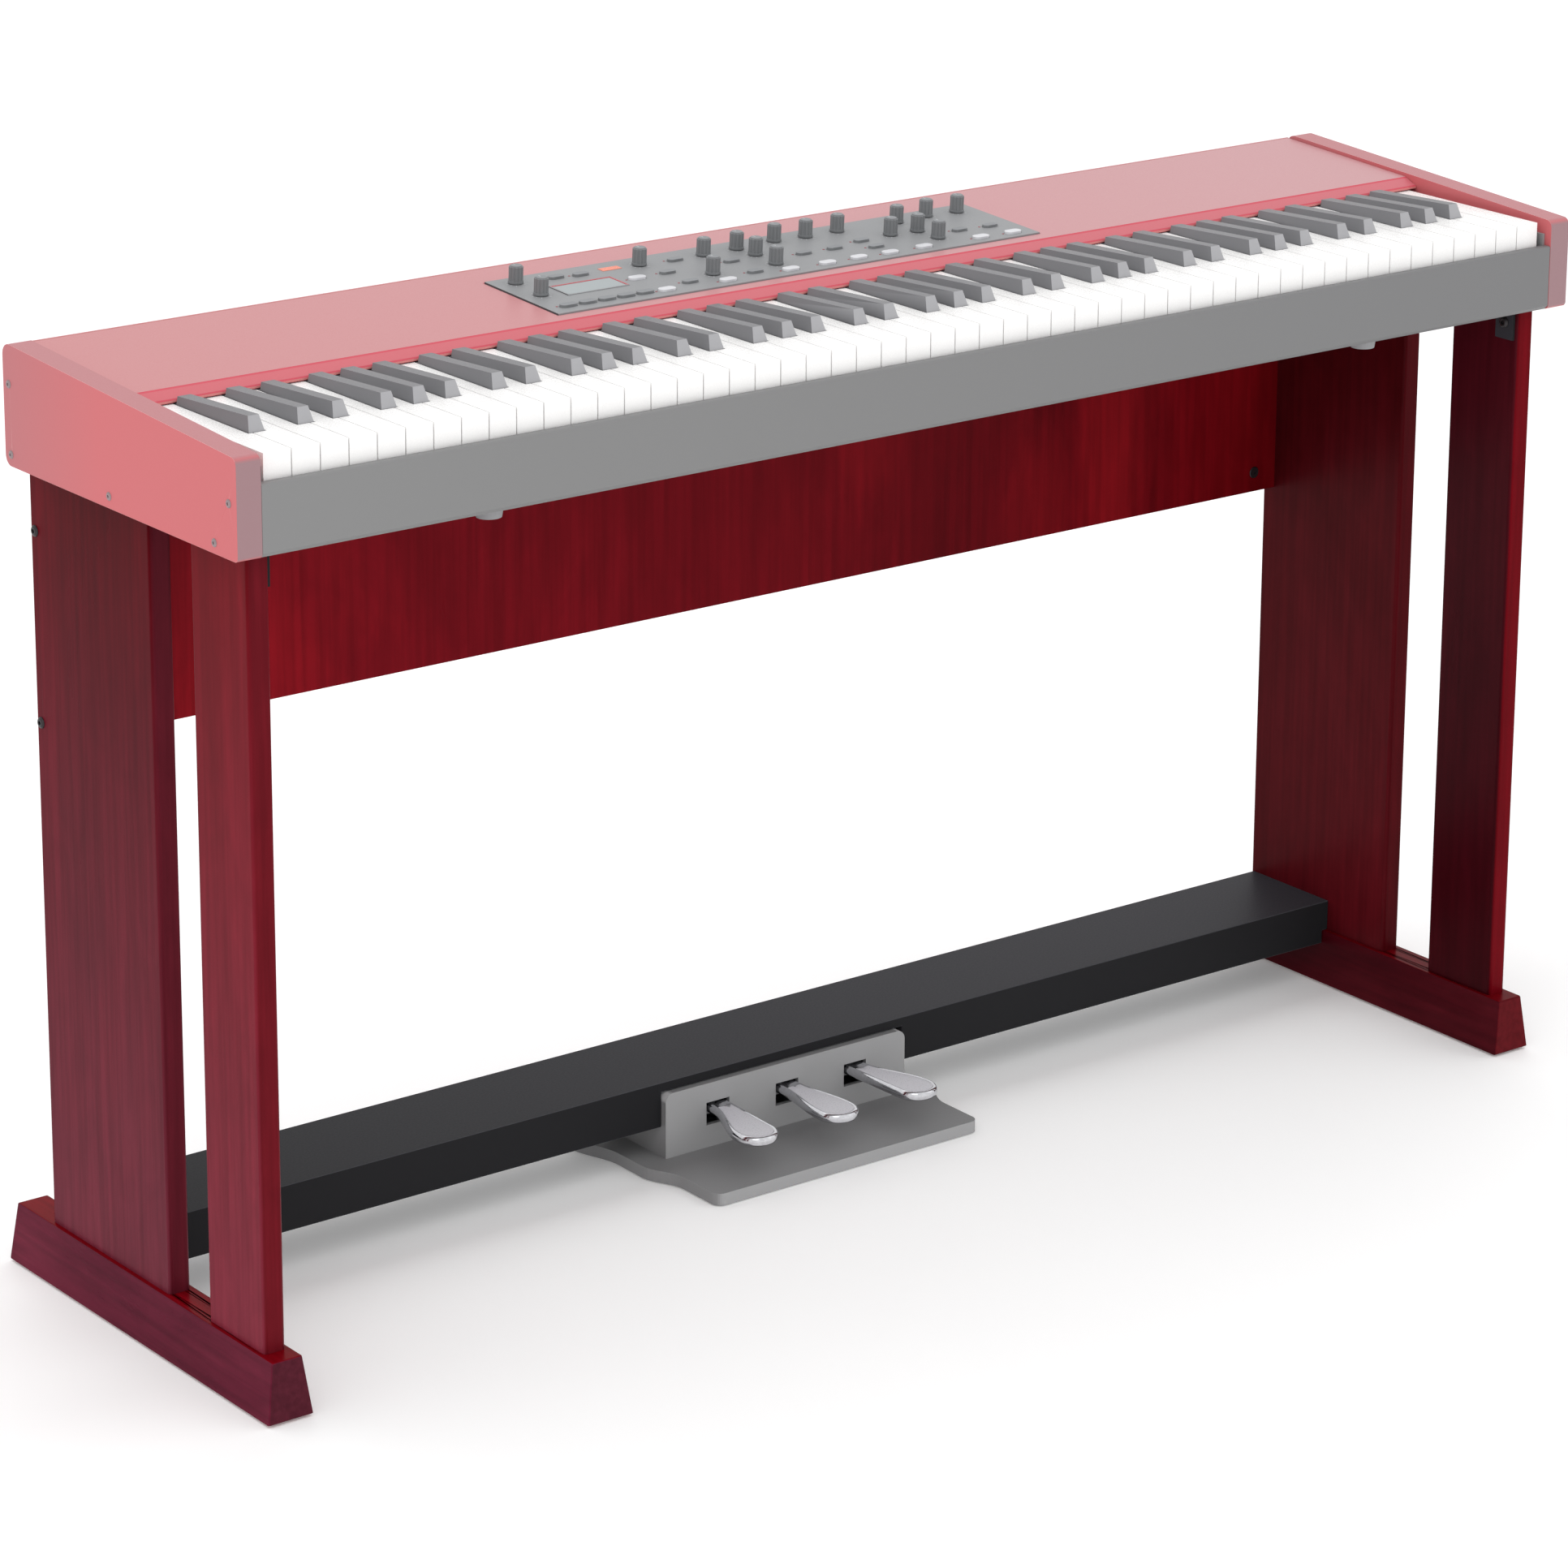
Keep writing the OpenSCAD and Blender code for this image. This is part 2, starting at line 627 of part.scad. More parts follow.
function seam_x(i) = -keys_w / 2 + i * key_pitch;
function note_of(i) = i % white_names;
function sharp_right(i) = i < white_count - 1 ? sharp_of[note_of(i)] : -1;
function sharp_left(i) = i > 0 ? sharp_right(i - 1) : -1;
function right_cut(i) = sharp_right(i) < 0 ? key_gap / 2
    : sharp_w / 2 + key_gap - sharp_shift[sharp_right(i)];
function left_cut(i) = sharp_left(i) < 0 ? key_gap / 2
    : sharp_w / 2 + key_gap + sharp_shift[sharp_left(i)];

// Arm that carries a key back to the pivot rod, with its bore
module key_arm(x1, x2, from) {
    difference() {
        union() {
            translate([x1, from, arm_z]) cube([x2 - x1, pivot_y - from, key_under + eps - arm_z]);
            translate([0, pivot_y, pivot_z]) rod_x(key_under - pivot_z, x1, x2);
        }
        translate([0, pivot_y, pivot_z]) rod_x(pivot_r + run_clear, x1 - 1, x2 + 1);
    }
}

module white_key(i) {
    x1 = seam_x(i);
    x2 = seam_x(i + 1);
    a = x1 + left_cut(i);
    b = x2 - right_cut(i);
    translate([x1 + key_gap / 2, key_setback, key_under])
        cube([key_pitch - key_gap, head_len, key_body_t]);
    translate([x1 + key_gap / 2, key_setback, key_top - key_lip_h])
        cube([key_pitch - key_gap, 3, key_lip_h]);
    translate([a, key_setback + 3, key_under]) cube([b - a, key_slide - key_setback - 3, key_body_t]);
    key_arm(a + 1, b - 1, head_end + 60);
}

module sharp_key(i) {
    x = seam_x(i + 1) + sharp_shift[sharp_right(i)];
    y1 = head_end + key_gap;
    translate([x, 0, 0]) {
        intersection() {
            along_x(sharp_w + 1) polygon([[y1, key_under], [y1, key_top], [y1 + 4.2, key_top + sharp_h],
                [fall_y - 3.5, key_top + sharp_rear_h], [fall_y - 3.5, key_top],
                [key_slide, key_top], [key_slide, key_under]]);
            translate([0, key_slide, 0]) rotate([90, 0, 0]) linear_extrude(key_slide - y1)
                polygon([[-sharp_w / 2, key_under], [sharp_w / 2, key_under], [sharp_w / 2, key_top],
                    [sharp_top_w / 2, key_top + sharp_h], [-sharp_top_w / 2, key_top + sharp_h],
                    [-sharp_w / 2, key_top]]);
        }
        key_arm(-sharp_w / 2 + 1.5, sharp_w / 2 - 1.5, head_end + 20);
    }
}

module white_keys(note) {
    color(key_white) translate([0, front, 0])
        for (i = [0:white_count - 1]) if (note_of(i) == note) white_key(i);
}

module sharp_keys(kind) {
    color(grey) translate([0, front, 0])
        for (i = [0:white_count - 2]) if (sharp_right(i) == kind) sharp_key(i);
}

module keys_a() { white_keys(0); }
module keys_b() { white_keys(1); }
module keys_c() { white_keys(2); }
module keys_d() { white_keys(3); }
module keys_e() { white_keys(4); }
module keys_f() { white_keys(5); }
module keys_g() { white_keys(6); }
module keys_a_sharp() { sharp_keys(0); }
module keys_c_sharp() { sharp_keys(1); }
module keys_d_sharp() { sharp_keys(2); }
module keys_f_sharp() { sharp_keys(3); }
module keys_g_sharp() { sharp_keys(4); }

frame_t = 2;
stop_y = [25, 45];
stop_top = key_under - 10;
frame_back = pivot_y + 18;
stop_half = upright_in - bracket_l / 2 - 2 * screw_r;

// Base plate, front stop rail, and the pivot rod in plates at the seams that have no black key
module key_frame() {
    frame_w = keys_w + 2 * (frame_t + 2);
    color(steel) translate([0, front, 0]) {
        difference() {
            translate([-frame_w / 2, tray_front + sheet_t + 2, tray_floor])
                cube([frame_w, frame_back - tray_front - sheet_t - 2, frame_t]);
            for (side = [-1, 1], sy = bracket_y)
                translate([side * (upright_in - bracket_l / 2), sy, tray_floor - 1])
                    cylinder(r = screw_r + bolt_clear, h = frame_t + 2);
        }
        for (x = [-frame_w / 2, frame_w / 2 - frame_t]) pivot_plate(x);
        for (i = [0:white_count - 2]) if (sharp_right(i) < 0) pivot_plate(seam_x(i + 1) - frame_t / 2);
        translate([0, pivot_y, pivot_z]) rod_x(pivot_r, -frame_w / 2, frame_w / 2);
        difference() {
            translate([-stop_half, stop_y[0], tray_floor + frame_t - eps])
                cube([2 * stop_half, stop_y[1] - stop_y[0], stop_top - tray_floor - frame_t + eps]);
            translate([-stop_half - 1, stop_y[0] + frame_t, tray_floor])
                cube([2 * stop_half + 2, stop_y[1] - stop_y[0] - 2 * frame_t, stop_top - tray_floor - frame_t]);
        }
    }
}

module pivot_plate(x) {
    translate([x + frame_t / 2, 0, 0]) along_x(frame_t)
        polygon([[pivot_y - 24, tray_floor], [pivot_y + 16, tray_floor], [pivot_y + 4, pivot_z + 4.5],
            [pivot_y - 4, pivot_z + 4.5]]);
}

// ---------- control panel ----------

module control_panel() {
    color(mid_grey) on_panel() difference() {
        union() {
            translate([0, 0, -panel_t]) cube([panel_w, panel_d, panel_t + panel_rise]);
            translate([-panel_lip, -panel_lip, -panel_t])
                cube([panel_w + 2 * panel_lip, panel_d + 2 * panel_lip, panel_t - sheet_t]);
        }
        for (p = knob_at) at_grid(p) translate([0, 0, -panel_t - 1])
            cylinder(r = knob_shaft_r + run_clear, h = panel_t + panel_rise + 2);
        for (p = dark_at) button_hole(p, dark_size);
        for (p = soft_at) button_hole(p, soft_size);
        for (p = oval_at) button_hole(p, oval_size);
        plate_recess(display_at, display_size);
        plate_recess(lamp_at, lamp_size);
    }
}

module button_hole(p, size) {
    at_grid(p) translate([0, 0, -panel_t - 1]) linear_extrude(panel_t + panel_rise + 2)
        slot_shape(size, button_clear);
}

plate_deep = 1;

module plate_recess(p, size) {
    at_grid(p) translate([-size[0] / 2 - fit_gap / 2, -size[1] / 2 - fit_gap / 2, panel_rise - plate_deep])
        cube([size[0] + fit_gap, size[1] + fit_gap, plate_deep + 1]);
}

module inlay(p, size) {
    on_panel() at_grid(p) translate([-size[0] / 2, -size[1] / 2, panel_rise - plate_deep])
        cube([size[0], size[1], plate_deep + 0.3]);
}

module display_window() { color([0.62, 0.64, 0.66]) inlay(display_at, display_size); }
module lamp_lens() { color([0.93, 0.50, 0.42]) inlay(lamp_at, lamp_size); }

stem_low = -8;
flange_z = -panel_t - 2 - button_travel;

// A button's cap with the flange under the panel that keeps it in
module button(p, size, proud) {
    at_grid(p) {
        translate([0, 0, flange_z]) linear_extrude(proud - flange_z) slot_shape(size);
        translate([0, 0, flange_z]) linear_extrude(1) slot_shape(size, 0.8);
        translate([0, 0, stem_low]) cylinder(r = 1.8, h = flange_z - stem_low + eps);
    }
}

module dark_buttons() {
    color(grey) on_panel() {
        for (p = dark_at) button(p, dark_size, button_proud);
        for (p = soft_at) button(p, soft_size, button_proud);
    }
}

module light_buttons() {
    color([0.82, 0.82, 0.83]) on_panel() for (p = oval_at) button(p, oval_size, button_proud - 0.4);
}

knob_flutes = 12;
knob_body_r = knob_d / 2 - 0.4;
knob_skirt = 1.8;
knob_crown = 1;

// Knob with a round skirt, a fluted body and a bevelled crown with a pointer groove, on its shaft
module knob(n) {
    shaft_low = pcb_z + pcb_t + 0.4;
    color(grey) on_panel() at_grid(knob_at[n - 1]) {
        translate([0, 0, shaft_low]) cylinder(r = knob_shaft_r, h = knob_lift + 1 - shaft_low);
        translate([0, 0, knob_lift]) cylinder(r = knob_d / 2, h = knob_skirt);
        translate([0, 0, knob_lift + knob_skirt]) linear_extrude(knob_h - knob_skirt - knob_crown)
            difference() {
                circle(r = knob_body_r);
                for (k = [0:knob_flutes - 1]) rotate((k + 0.5) * 360 / knob_flutes)
                    translate([knob_body_r + 0.3, 0]) circle(r = 0.8, $fn = 24);
            }
        difference() {
            translate([0, 0, knob_lift + knob_h - knob_crown])
                cylinder(r1 = knob_body_r - 0.6, r2 = knob_body_r - 1.2, h = knob_crown);
            translate([-0.5, 1, knob_lift + knob_h - 0.5]) cube([1, knob_d, 1]);
        }
    }
}

module knob_1() { knob(1); }
module knob_2() { knob(2); }
module knob_3() { knob(3); }
module knob_4() { knob(4); }
module knob_5() { knob(5); }
module knob_6() { knob(6); }
module knob_7() { knob(7); }
module knob_8() { knob(8); }
module knob_9() { knob(9); }
module knob_10() { knob(10); }
module knob_11() { knob(11); }
module knob_12() { knob(12); }
module knob_13() { knob(13); }
module knob_14() { knob(14); }
module knob_15() { knob(15); }
module knob_16() { knob(16); }
module knob_17() { knob(17); }

pot_size = 11;
pot_h = 7;
key_switch = 6;
post_r = 2.5;
main_board = [280, 50];
supply = [120, 52, 30];
board_y = frame_back + 3;

// Panel board with its rotary controls and switches, the main board and the power supply
module circuit_boards() {
    color(board_green) {
        on_panel() {
            difference() {
                union() {
                    translate([2, 2, pcb_z]) cube([panel_w - 4, panel_d - 4, pcb_t]);
                    for (p = knob_at) at_grid(p)
                        translate([-pot_size / 2, -pot_size / 2, pcb_z + pcb_t - eps])
                            cube([pot_size, pot_size, pot_h]);
                }
                for (p = knob_at) at_grid(p) translate([0, 0, pcb_z + pcb_t])
                    cylinder(r = knob_shaft_r + run_clear, h = pot_h + 1);
            }
            for (p = concat(dark_at, oval_at, soft_at)) at_grid(p)
                translate([-key_switch / 2, -key_switch / 2, pcb_z + pcb_t - eps])
                    cube([key_switch, key_switch, stem_low - button_travel - 0.3 - pcb_z - pcb_t]);
            for (x = [5, panel_w / 2, panel_w - 5], y = [5, panel_d - 5]) translate([x, y, pcb_z + pcb_t - eps])
                cylinder(r = post_r, h = -panel_t - pcb_z - pcb_t + eps);
        }
        translate([0, front, tray_floor]) {
            translate([-190, board_y, 5]) cube([main_board[0], main_board[1], pcb_t]);
            for (x = [-180, -50, 80], y = [board_y + 5, board_y + main_board[1] - 5]) translate([x, y, 0])
                cylinder(r = post_r, h = 5);
            translate([-560, board_y, 0]) cube([supply[0], supply[1], supply[2]]);
        }
    }
}

// ---------- pedal unit ----------

base_half = 133;
base_corner = 8;
base_steps = 40;
function ease(t) = t <= 0 ? 0 : t >= 1 ? 1 : t * t * (3 - 2 * t);
function base_side(y) = base_half + 13 * ease((y - 46) / 38) + 12 * ease((y - 118) / 50)
    - (y < base_corner ? base_corner - sqrt(base_corner ^ 2 - (base_corner - y) ^ 2) : 0);
base_depth = base_back - base_front;
// Steps are finer at the front, where the corner is
function base_y(k) = base_depth * (k / base_steps) ^ 1.8;

module base_outline() {
    right = [for (k = [0:base_steps]) [base_side(base_y(k)), base_y(k)]];
    left = [for (k = [base_steps:-1:0]) [-base_side(base_y(k)), base_y(k)]];
    polygon(concat(right, left));
}

module housing_front(w, inset) {
    r = 8;
    low = base_top - 1;
    translate([-w / 2 + inset, low]) square([w - 2 * inset, housing_top - low - r]);
    translate([-w / 2 + r, low]) square([w - 2 * r, housing_top - low - inset]);
    for (s = [-1, 1]) translate([s * (w / 2 - r), housing_top - r]) circle(r = r - inset);
}

pedal_half_slot = neck_w / 2 + slot_gap;

module pedal_base() {
    color(grey) translate([pedal_x, front, 0]) difference() {
        union() {
            translate([0, base_front, base_z]) linear_extrude(base_t) base_outline();
            difference() {
                translate([0, housing_back, 0]) rotate([90, 0, 0])
                    linear_extrude(housing_back - housing_face) housing_front(housing_w, 0);
                translate([0, housing_back - housing_wall, 0]) rotate([90, 0, 0])
                    linear_extrude(housing_back - housing_face - 2 * housing_wall)
                        housing_front(housing_w, housing_wall);
            }
        }
        for (k = [-1:1]) translate([k * pedal_pitch - pedal_half_slot, housing_face - 1, slot_low])
            cube([2 * pedal_half_slot, housing_wall + 2, pedal_mid_z + pedal_t / 2 + slot_gap - slot_low]);
        translate([0, shaft_y, pedal_mid_z]) rod_x(shaft_r + run_clear, -housing_w / 2 - 1, housing_w / 2 + 1);
    }
}

module pedal_shaft() {
    color(steel) translate([pedal_x, front + shaft_y, pedal_mid_z])
        rod_x(shaft_r, -housing_w / 2 + 0.5, housing_w / 2 - 0.5);
}

// Pedal: a straight neck on the shaft, then an arm that fans out to a rounded plate
module pedal(k) {
    toe = housing_face - pedal_reach;
    dx = k * (paddle_pitch - pedal_pitch);
    r = paddle_w / 2;
    color([0.78, 0.78, 0.80]) translate([pedal_x + k * pedal_pitch, front, pedal_mid_z]) difference() {
        union() {
            translate([0, 0, -pedal_t / 2]) linear_extrude(pedal_t) {
                hull() {
                    translate([dx, toe + r]) circle(r = r, $fn = 48);
                    translate([dx * 0.75, toe + r + 24]) circle(r = r * 0.72, $fn = 32);
                }
                hull() {
                    translate([dx * 0.75, toe + r + 24]) circle(r = r * 0.72, $fn = 32);
                    translate([-neck_w / 2, housing_face - 2]) square([neck_w, 2]);
                }
                translate([-neck_w / 2, housing_face - 2]) square([neck_w, shaft_y - housing_face + 2]);
            }
            translate([0, shaft_y, 0]) rod_x(shaft_r + 4, -neck_w / 2, neck_w / 2);
        }
        translate([0, shaft_y, 0]) rod_x(shaft_r + run_clear, -neck_w, neck_w);
    }
}

module pedal_left() { pedal(-1); }
module pedal_middle() { pedal(0); }
module pedal_right() { pedal(1); }

// ---------- assembly ----------

left_foot();
right_foot();
left_rear_upright();
left_front_upright();
right_rear_upright();
right_front_upright();
back_panel();
pedal_bar();
stand_brackets();
fasteners();
rubber_pads();
left_cheek();
right_cheek();
top_cover();
rear_panel();
bottom_tray();
front_rail();
key_frame();
circuit_boards();
rear_sockets();
power_switch();
control_panel();
display_window();
lamp_lens();
keys_a();
keys_a_sharp();
keys_b();
keys_c();
keys_c_sharp();
keys_d();
keys_d_sharp();
keys_e();
keys_f();
keys_f_sharp();
keys_g();
keys_g_sharp();
dark_buttons();
light_buttons();
knob_1();
knob_2();
knob_3();
knob_4();
knob_5();
knob_6();
knob_7();
knob_8();
knob_9();
knob_10();
knob_11();
knob_12();
knob_13();
knob_14();
knob_15();
knob_16();
knob_17();
pedal_left();
pedal_middle();
pedal_right();
pedal_base();
pedal_shaft();
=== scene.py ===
import json
import math

import bmesh
import bpy
from mathutils import Matrix, Vector


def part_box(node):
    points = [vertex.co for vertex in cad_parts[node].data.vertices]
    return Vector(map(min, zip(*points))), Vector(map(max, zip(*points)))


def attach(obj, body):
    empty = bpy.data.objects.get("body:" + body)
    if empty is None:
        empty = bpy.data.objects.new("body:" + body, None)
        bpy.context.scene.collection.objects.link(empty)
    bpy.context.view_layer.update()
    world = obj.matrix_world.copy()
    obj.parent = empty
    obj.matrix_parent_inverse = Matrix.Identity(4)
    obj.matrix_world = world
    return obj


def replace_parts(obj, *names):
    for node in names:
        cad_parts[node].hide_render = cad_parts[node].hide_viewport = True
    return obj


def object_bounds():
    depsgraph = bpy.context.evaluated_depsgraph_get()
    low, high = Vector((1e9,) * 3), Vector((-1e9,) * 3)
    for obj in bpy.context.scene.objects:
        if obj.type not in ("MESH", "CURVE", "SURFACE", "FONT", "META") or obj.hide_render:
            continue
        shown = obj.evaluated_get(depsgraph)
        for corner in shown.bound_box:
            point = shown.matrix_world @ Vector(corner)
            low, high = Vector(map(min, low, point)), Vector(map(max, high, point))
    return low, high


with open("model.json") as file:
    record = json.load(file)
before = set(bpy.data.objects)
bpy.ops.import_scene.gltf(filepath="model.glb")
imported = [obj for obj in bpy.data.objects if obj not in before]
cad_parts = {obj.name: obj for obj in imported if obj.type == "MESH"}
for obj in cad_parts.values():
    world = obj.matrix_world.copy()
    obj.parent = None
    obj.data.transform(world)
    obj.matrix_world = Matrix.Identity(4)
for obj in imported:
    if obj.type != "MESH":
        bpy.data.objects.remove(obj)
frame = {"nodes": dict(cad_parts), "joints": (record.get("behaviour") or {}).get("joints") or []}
cad_low, cad_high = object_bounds()
nodes = frame["nodes"]
scene = bpy.context.scene
scene.view_settings.view_transform = "Standard"
scene.view_settings.look = "None"


# ---------------------------------------------------------------- camera
AZIMUTH, ELEVATION, ROLL = -37.341, 15.865, 0.33  # degrees
AIM = Vector((-0.00438, 0.20582 + cad_low.y, 0.52827))
DISTANCE = 4.30693
LENS, SENSOR = 125.48, 36  # mm
SHIFT_X, SHIFT_Y = -0.0056, -0.1687
CLIP_END = 120


def make_camera():
    az, el, roll = math.radians(AZIMUTH), math.radians(ELEVATION), math.radians(ROLL)
    back = Vector((math.sin(az) * math.cos(el), -math.cos(az) * math.cos(el), math.sin(el)))
    right = (-back).cross(Vector((0, 0, 1))).normalized()
    up = right.cross(-back)
    x = right * math.cos(roll) + up * math.sin(roll)
    y = up * math.cos(roll) - right * math.sin(roll)
    data = bpy.data.cameras.new("camera")
    data.sensor_width = SENSOR
    data.lens = LENS
    data.shift_x = SHIFT_X
    data.shift_y = SHIFT_Y
    data.clip_end = CLIP_END
    cam = bpy.data.objects.new("camera", data)
    scene.collection.objects.link(cam)
    place = Matrix((x, y, back)).transposed().to_4x4()
    place.translation = AIM + back * DISTANCE
    cam.matrix_world = place
    scene.camera = cam


make_camera()


# ---------------------------------------------------------------- materials
def rgb(r, g, b):
    """Linear colour from 0-255 sRGB numbers."""
    out = []
    for c in (r, g, b):
        c /= 255
        out.append(c / 12.92 if c <= 0.04045 else ((c + 0.055) / 1.055) ** 2.4)
    return (*out, 1.0)


class Mat:
    """A small builder for one procedural material."""

    def __init__(self, name, rough=0.5, metal=0.0, spec=0.5):
        self.m = bpy.data.materials.new(name)
        self.m.use_nodes = True
        self.t = self.m.node_tree
        self.b = self.t.nodes["Principled BSDF"]
        self.b.inputs["Roughness"].default_value = rough
        self.b.inputs["Metallic"].default_value = metal
        self.b.inputs["Specular IOR Level"].default_value = spec
        self.coord = self.t.nodes.new("ShaderNodeTexCoord")

    def node(self, kind, **settings):
        n = self.t.nodes.new(kind)
        for key, value in settings.items():
            setattr(n, key, value)
        return n

    def link(self, a, b):
        self.t.links.new(a, b)

    def noise(self, scale, stretch=(1, 1, 1), detail=4.0, rough=0.55, distort=0.0, at=(0, 0, 0)):
        mp = self.node("ShaderNodeMapping")
        mp.inputs["Scale"].default_value = stretch
        mp.inputs["Location"].default_value = at
        self.link(self.coord.outputs["Object"], mp.inputs["Vector"])
        n = self.node("ShaderNodeTexNoise")
        n.inputs["Scale"].default_value = scale
        n.inputs["Detail"].default_value = detail
        n.inputs["Roughness"].default_value = rough
        n.inputs["Distortion"].default_value = distort
        self.link(mp.outputs["Vector"], n.inputs["Vector"])
        return n.outputs["Fac"]

    def ramp(self, fac, *stops):
        r = self.node("ShaderNodeValToRGB")
        el = r.color_ramp.elements
        while len(el) < len(stops):
            el.new(0.5)
        for e, (pos, col) in zip(el, stops):
            e.position = pos
            e.color = col
        self.link(fac, r.inputs["Fac"])
        return r.outputs["Color"]

    def mix(self, fac, a, b, mode="MIX"):
        n = self.node("ShaderNodeMix", data_type="RGBA", blend_type=mode)
        for sock, v in ((n.inputs["Factor"], fac), (n.inputs["A"], a), (n.inputs["B"], b)):
            if hasattr(v, "is_linked"):
                self.link(v, sock)
            else:
                sock.default_value = v
        return n.outputs["Result"]

    def remap(self, fac, lo, hi, out_lo, out_hi):
        n = self.node("ShaderNodeMapRange")
        n.inputs["From Min"].default_value = lo
        n.inputs["From Max"].default_value = hi
        n.inputs["To Min"].default_value = out_lo
        n.inputs["To Max"].default_value = out_hi
        self.link(fac, n.inputs["Value"])
        return n.outputs["Result"]

    def facing(self, axis, lo, hi):
        """0 to 1 as a face turns towards one axis, either way."""
        geo = self.node("ShaderNodeNewGeometry")
        split = self.node("ShaderNodeSeparateXYZ")
        self.link(geo.outputs["Normal"], split.inputs["Vector"])
        size = self.node("ShaderNodeMath", operation="ABSOLUTE")
        self.link(split.outputs["XYZ".index(axis.upper())], size.inputs[0])
        return self.remap(size.outputs[0], lo, hi, 0.0, 1.0)

    def along(self, axis, lo, hi):
        """0 to 1 between two places along one axis."""
        split = self.node("ShaderNodeSeparateXYZ")
        self.link(self.coord.outputs["Object"], split.inputs["Vector"])
        return self.remap(split.outputs["XYZ".index(axis.upper())], lo, hi, 0.0, 1.0)

    def edges(self, a, b):
        """1 on a bevel between two axes, 0 on the flats."""
        n = self.node("ShaderNodeMath", operation="MULTIPLY")
        self.link(self.facing(a, 0.0, 1.0), n.inputs[0])
        self.link(self.facing(b, 0.0, 1.0), n.inputs[1])
        return self.remap(n.outputs[0], 0.12, 0.35, 0.0, 1.0)

    def base(self, sock):
        self.link(sock, self.b.inputs["Base Color"])

    def rough(self, sock):
        self.link(sock, self.b.inputs["Roughness"])

    def bump(self, fac, strength, dist):
        n = self.node("ShaderNodeBump")
        n.inputs["Strength"].default_value = strength
        n.inputs["Distance"].default_value = dist
        self.link(fac, n.inputs["Height"])
        self.link(n.outputs["Normal"], self.b.inputs["Normal"])


def shade(c, k):
    """A colour made darker or lighter by a factor."""
    return (c[0] * k, c[1] * k, c[2] * k, 1.0)


def painted(name, colour, rough=0.45, grain=900, bump=0.03, vary=0.06, spec=0.5, face_shading=(), fade=None,
            bevel_highlight=None):
    """Sprayed paint: a faint broad change of tone, a fine orange peel and a roughness that isn't even.
    Faces that look along an axis take painted light and shade from (axis, from, to, colour) entries, fade is
    (axis, low, high, colour at low, colour at high), and the bevels between the axes of an (axes, colour) pair
    take a painted highlight in that colour."""
    m = Mat(name, rough=rough, spec=spec)
    broad = m.noise(3.0, detail=3)
    tone = m.ramp(broad, (0.3, shade(colour, 1 - vary)), (0.7, shade(colour, 1 + vary)))
    if fade:
        span = m.along(*fade[:3])
        tone = m.mix(0.85, tone, m.ramp(span, (0.0, fade[3]), (1.0, fade[4])))
    # painted light and shade: faces that look along an axis take a lighter or darker copy of the colour
    for axis, lo, hi, other in face_shading:
        tone = m.mix(m.facing(axis, lo, hi), tone, other)
    # painted highlight on the bevels between the given axes
    if bevel_highlight:
        for pair in bevel_highlight[0]:
            tone = m.mix(m.edges(*pair), tone, bevel_highlight[1])
    m.base(tone)
    fine = m.noise(grain, detail=2)
    m.rough(m.remap(fine, 0.3, 0.7, rough - 0.05, rough + 0.05))
    m.bump(fine, bump, 0.0004)
    return m.m


def stretched(axis, k):
    """Scale of a texture drawn out along the grain."""
    return [k if a == axis else 1.0 for a in "xyz"]


def lacquer(name, axis, dark, mid, light, offset=(0, 0, 0), cloud_scale=5.5, fade=None, face_shading=()):
    """Stained veneer under lacquer: broad clouds, grain streaks along one axis, and a tone that changes
    from one end to the other. fade is (axis, low, high, colour at low, colour at high). Faces that look along
    an axis take painted light and shade from (axis, from, to, colour) entries."""
    rough = 0.3
    m = Mat(name, rough=rough, spec=0.03)
    cloud = m.noise(cloud_scale, stretched(axis, 0.3), detail=6, rough=0.62, distort=0.5, at=offset)
    tone = m.ramp(cloud, (0.32, dark), (0.5, mid), (0.68, light))
    if fade:
        tone = m.mix(0.62, tone, m.ramp(m.along(*fade[:3]), (0.0, fade[3]), (1.0, fade[4])))
    # painted light and shade on faces that look along an axis
    for side, lo, hi, other in face_shading:
        tone = m.mix(m.facing(side, lo, hi), tone, other)
    streak = m.noise(170.0, stretched(axis, 0.03), detail=3)
    lines = m.ramp(streak, (0.35, (0.60, 0.60, 0.60, 1)), (0.62, (1.05, 1.05, 1.05, 1)))
    figure = m.noise(34.0, stretched(axis, 0.35), detail=4, distort=1.2, at=offset)
    flame = m.ramp(figure, (0.35, (0.80, 0.80, 0.80, 1)), (0.65, (1.1, 1.1, 1.1, 1)))
    wood = m.mix(1.0, m.mix(1.0, tone, lines, "MULTIPLY"), flame, "MULTIPLY")
    m.base(m.mix(0.5, tone, wood))
    m.rough(m.remap(cloud, 0.3, 0.7, rough - 0.04, rough + 0.06))
    m.bump(streak, 0.05, 0.0003)
    return m.m


def metal(name, colour, rough, metallic=1.0):
    """Metal with a fine unevenness in tone and polish."""
    m = Mat(name, rough=rough, metal=metallic)
    fine = m.noise(300, detail=3)
    m.base(m.ramp(fine, (0.3, shade(colour, 0.9)), (0.7, shade(colour, 1.06))))
    m.rough(m.remap(fine, 0.3, 0.7, max(0.04, rough - 0.06), rough + 0.06))
    return m.m


stand_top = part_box("left_rear_upright")[1].z
FOOT_TOP = 0.05
SPAN = ("x", -0.6, 0.6)  # how far the tones that change from left to right run
FRONT = ("y", 0.6, 0.95)
M = {}


# From the foot to the top of each upright the tone changes as painted light and a painted reflection of the
# floor; the front faces take painted light and shade.
def upright_lacquer(name, tones, offset, at_foot, at_top, front):
    return lacquer(name, "z", *tones, offset=offset, fade=("z", FOOT_TOP, stand_top, at_foot, at_top),
                   face_shading=((*FRONT, front),))


# The front faces and the tops of the feet take painted light and shade.
def foot_lacquer(name, tones, offset, front, top):
    return lacquer(name, "y", *tones, offset=offset, face_shading=((*FRONT, front), ("z", 0.7, 0.97, top)))
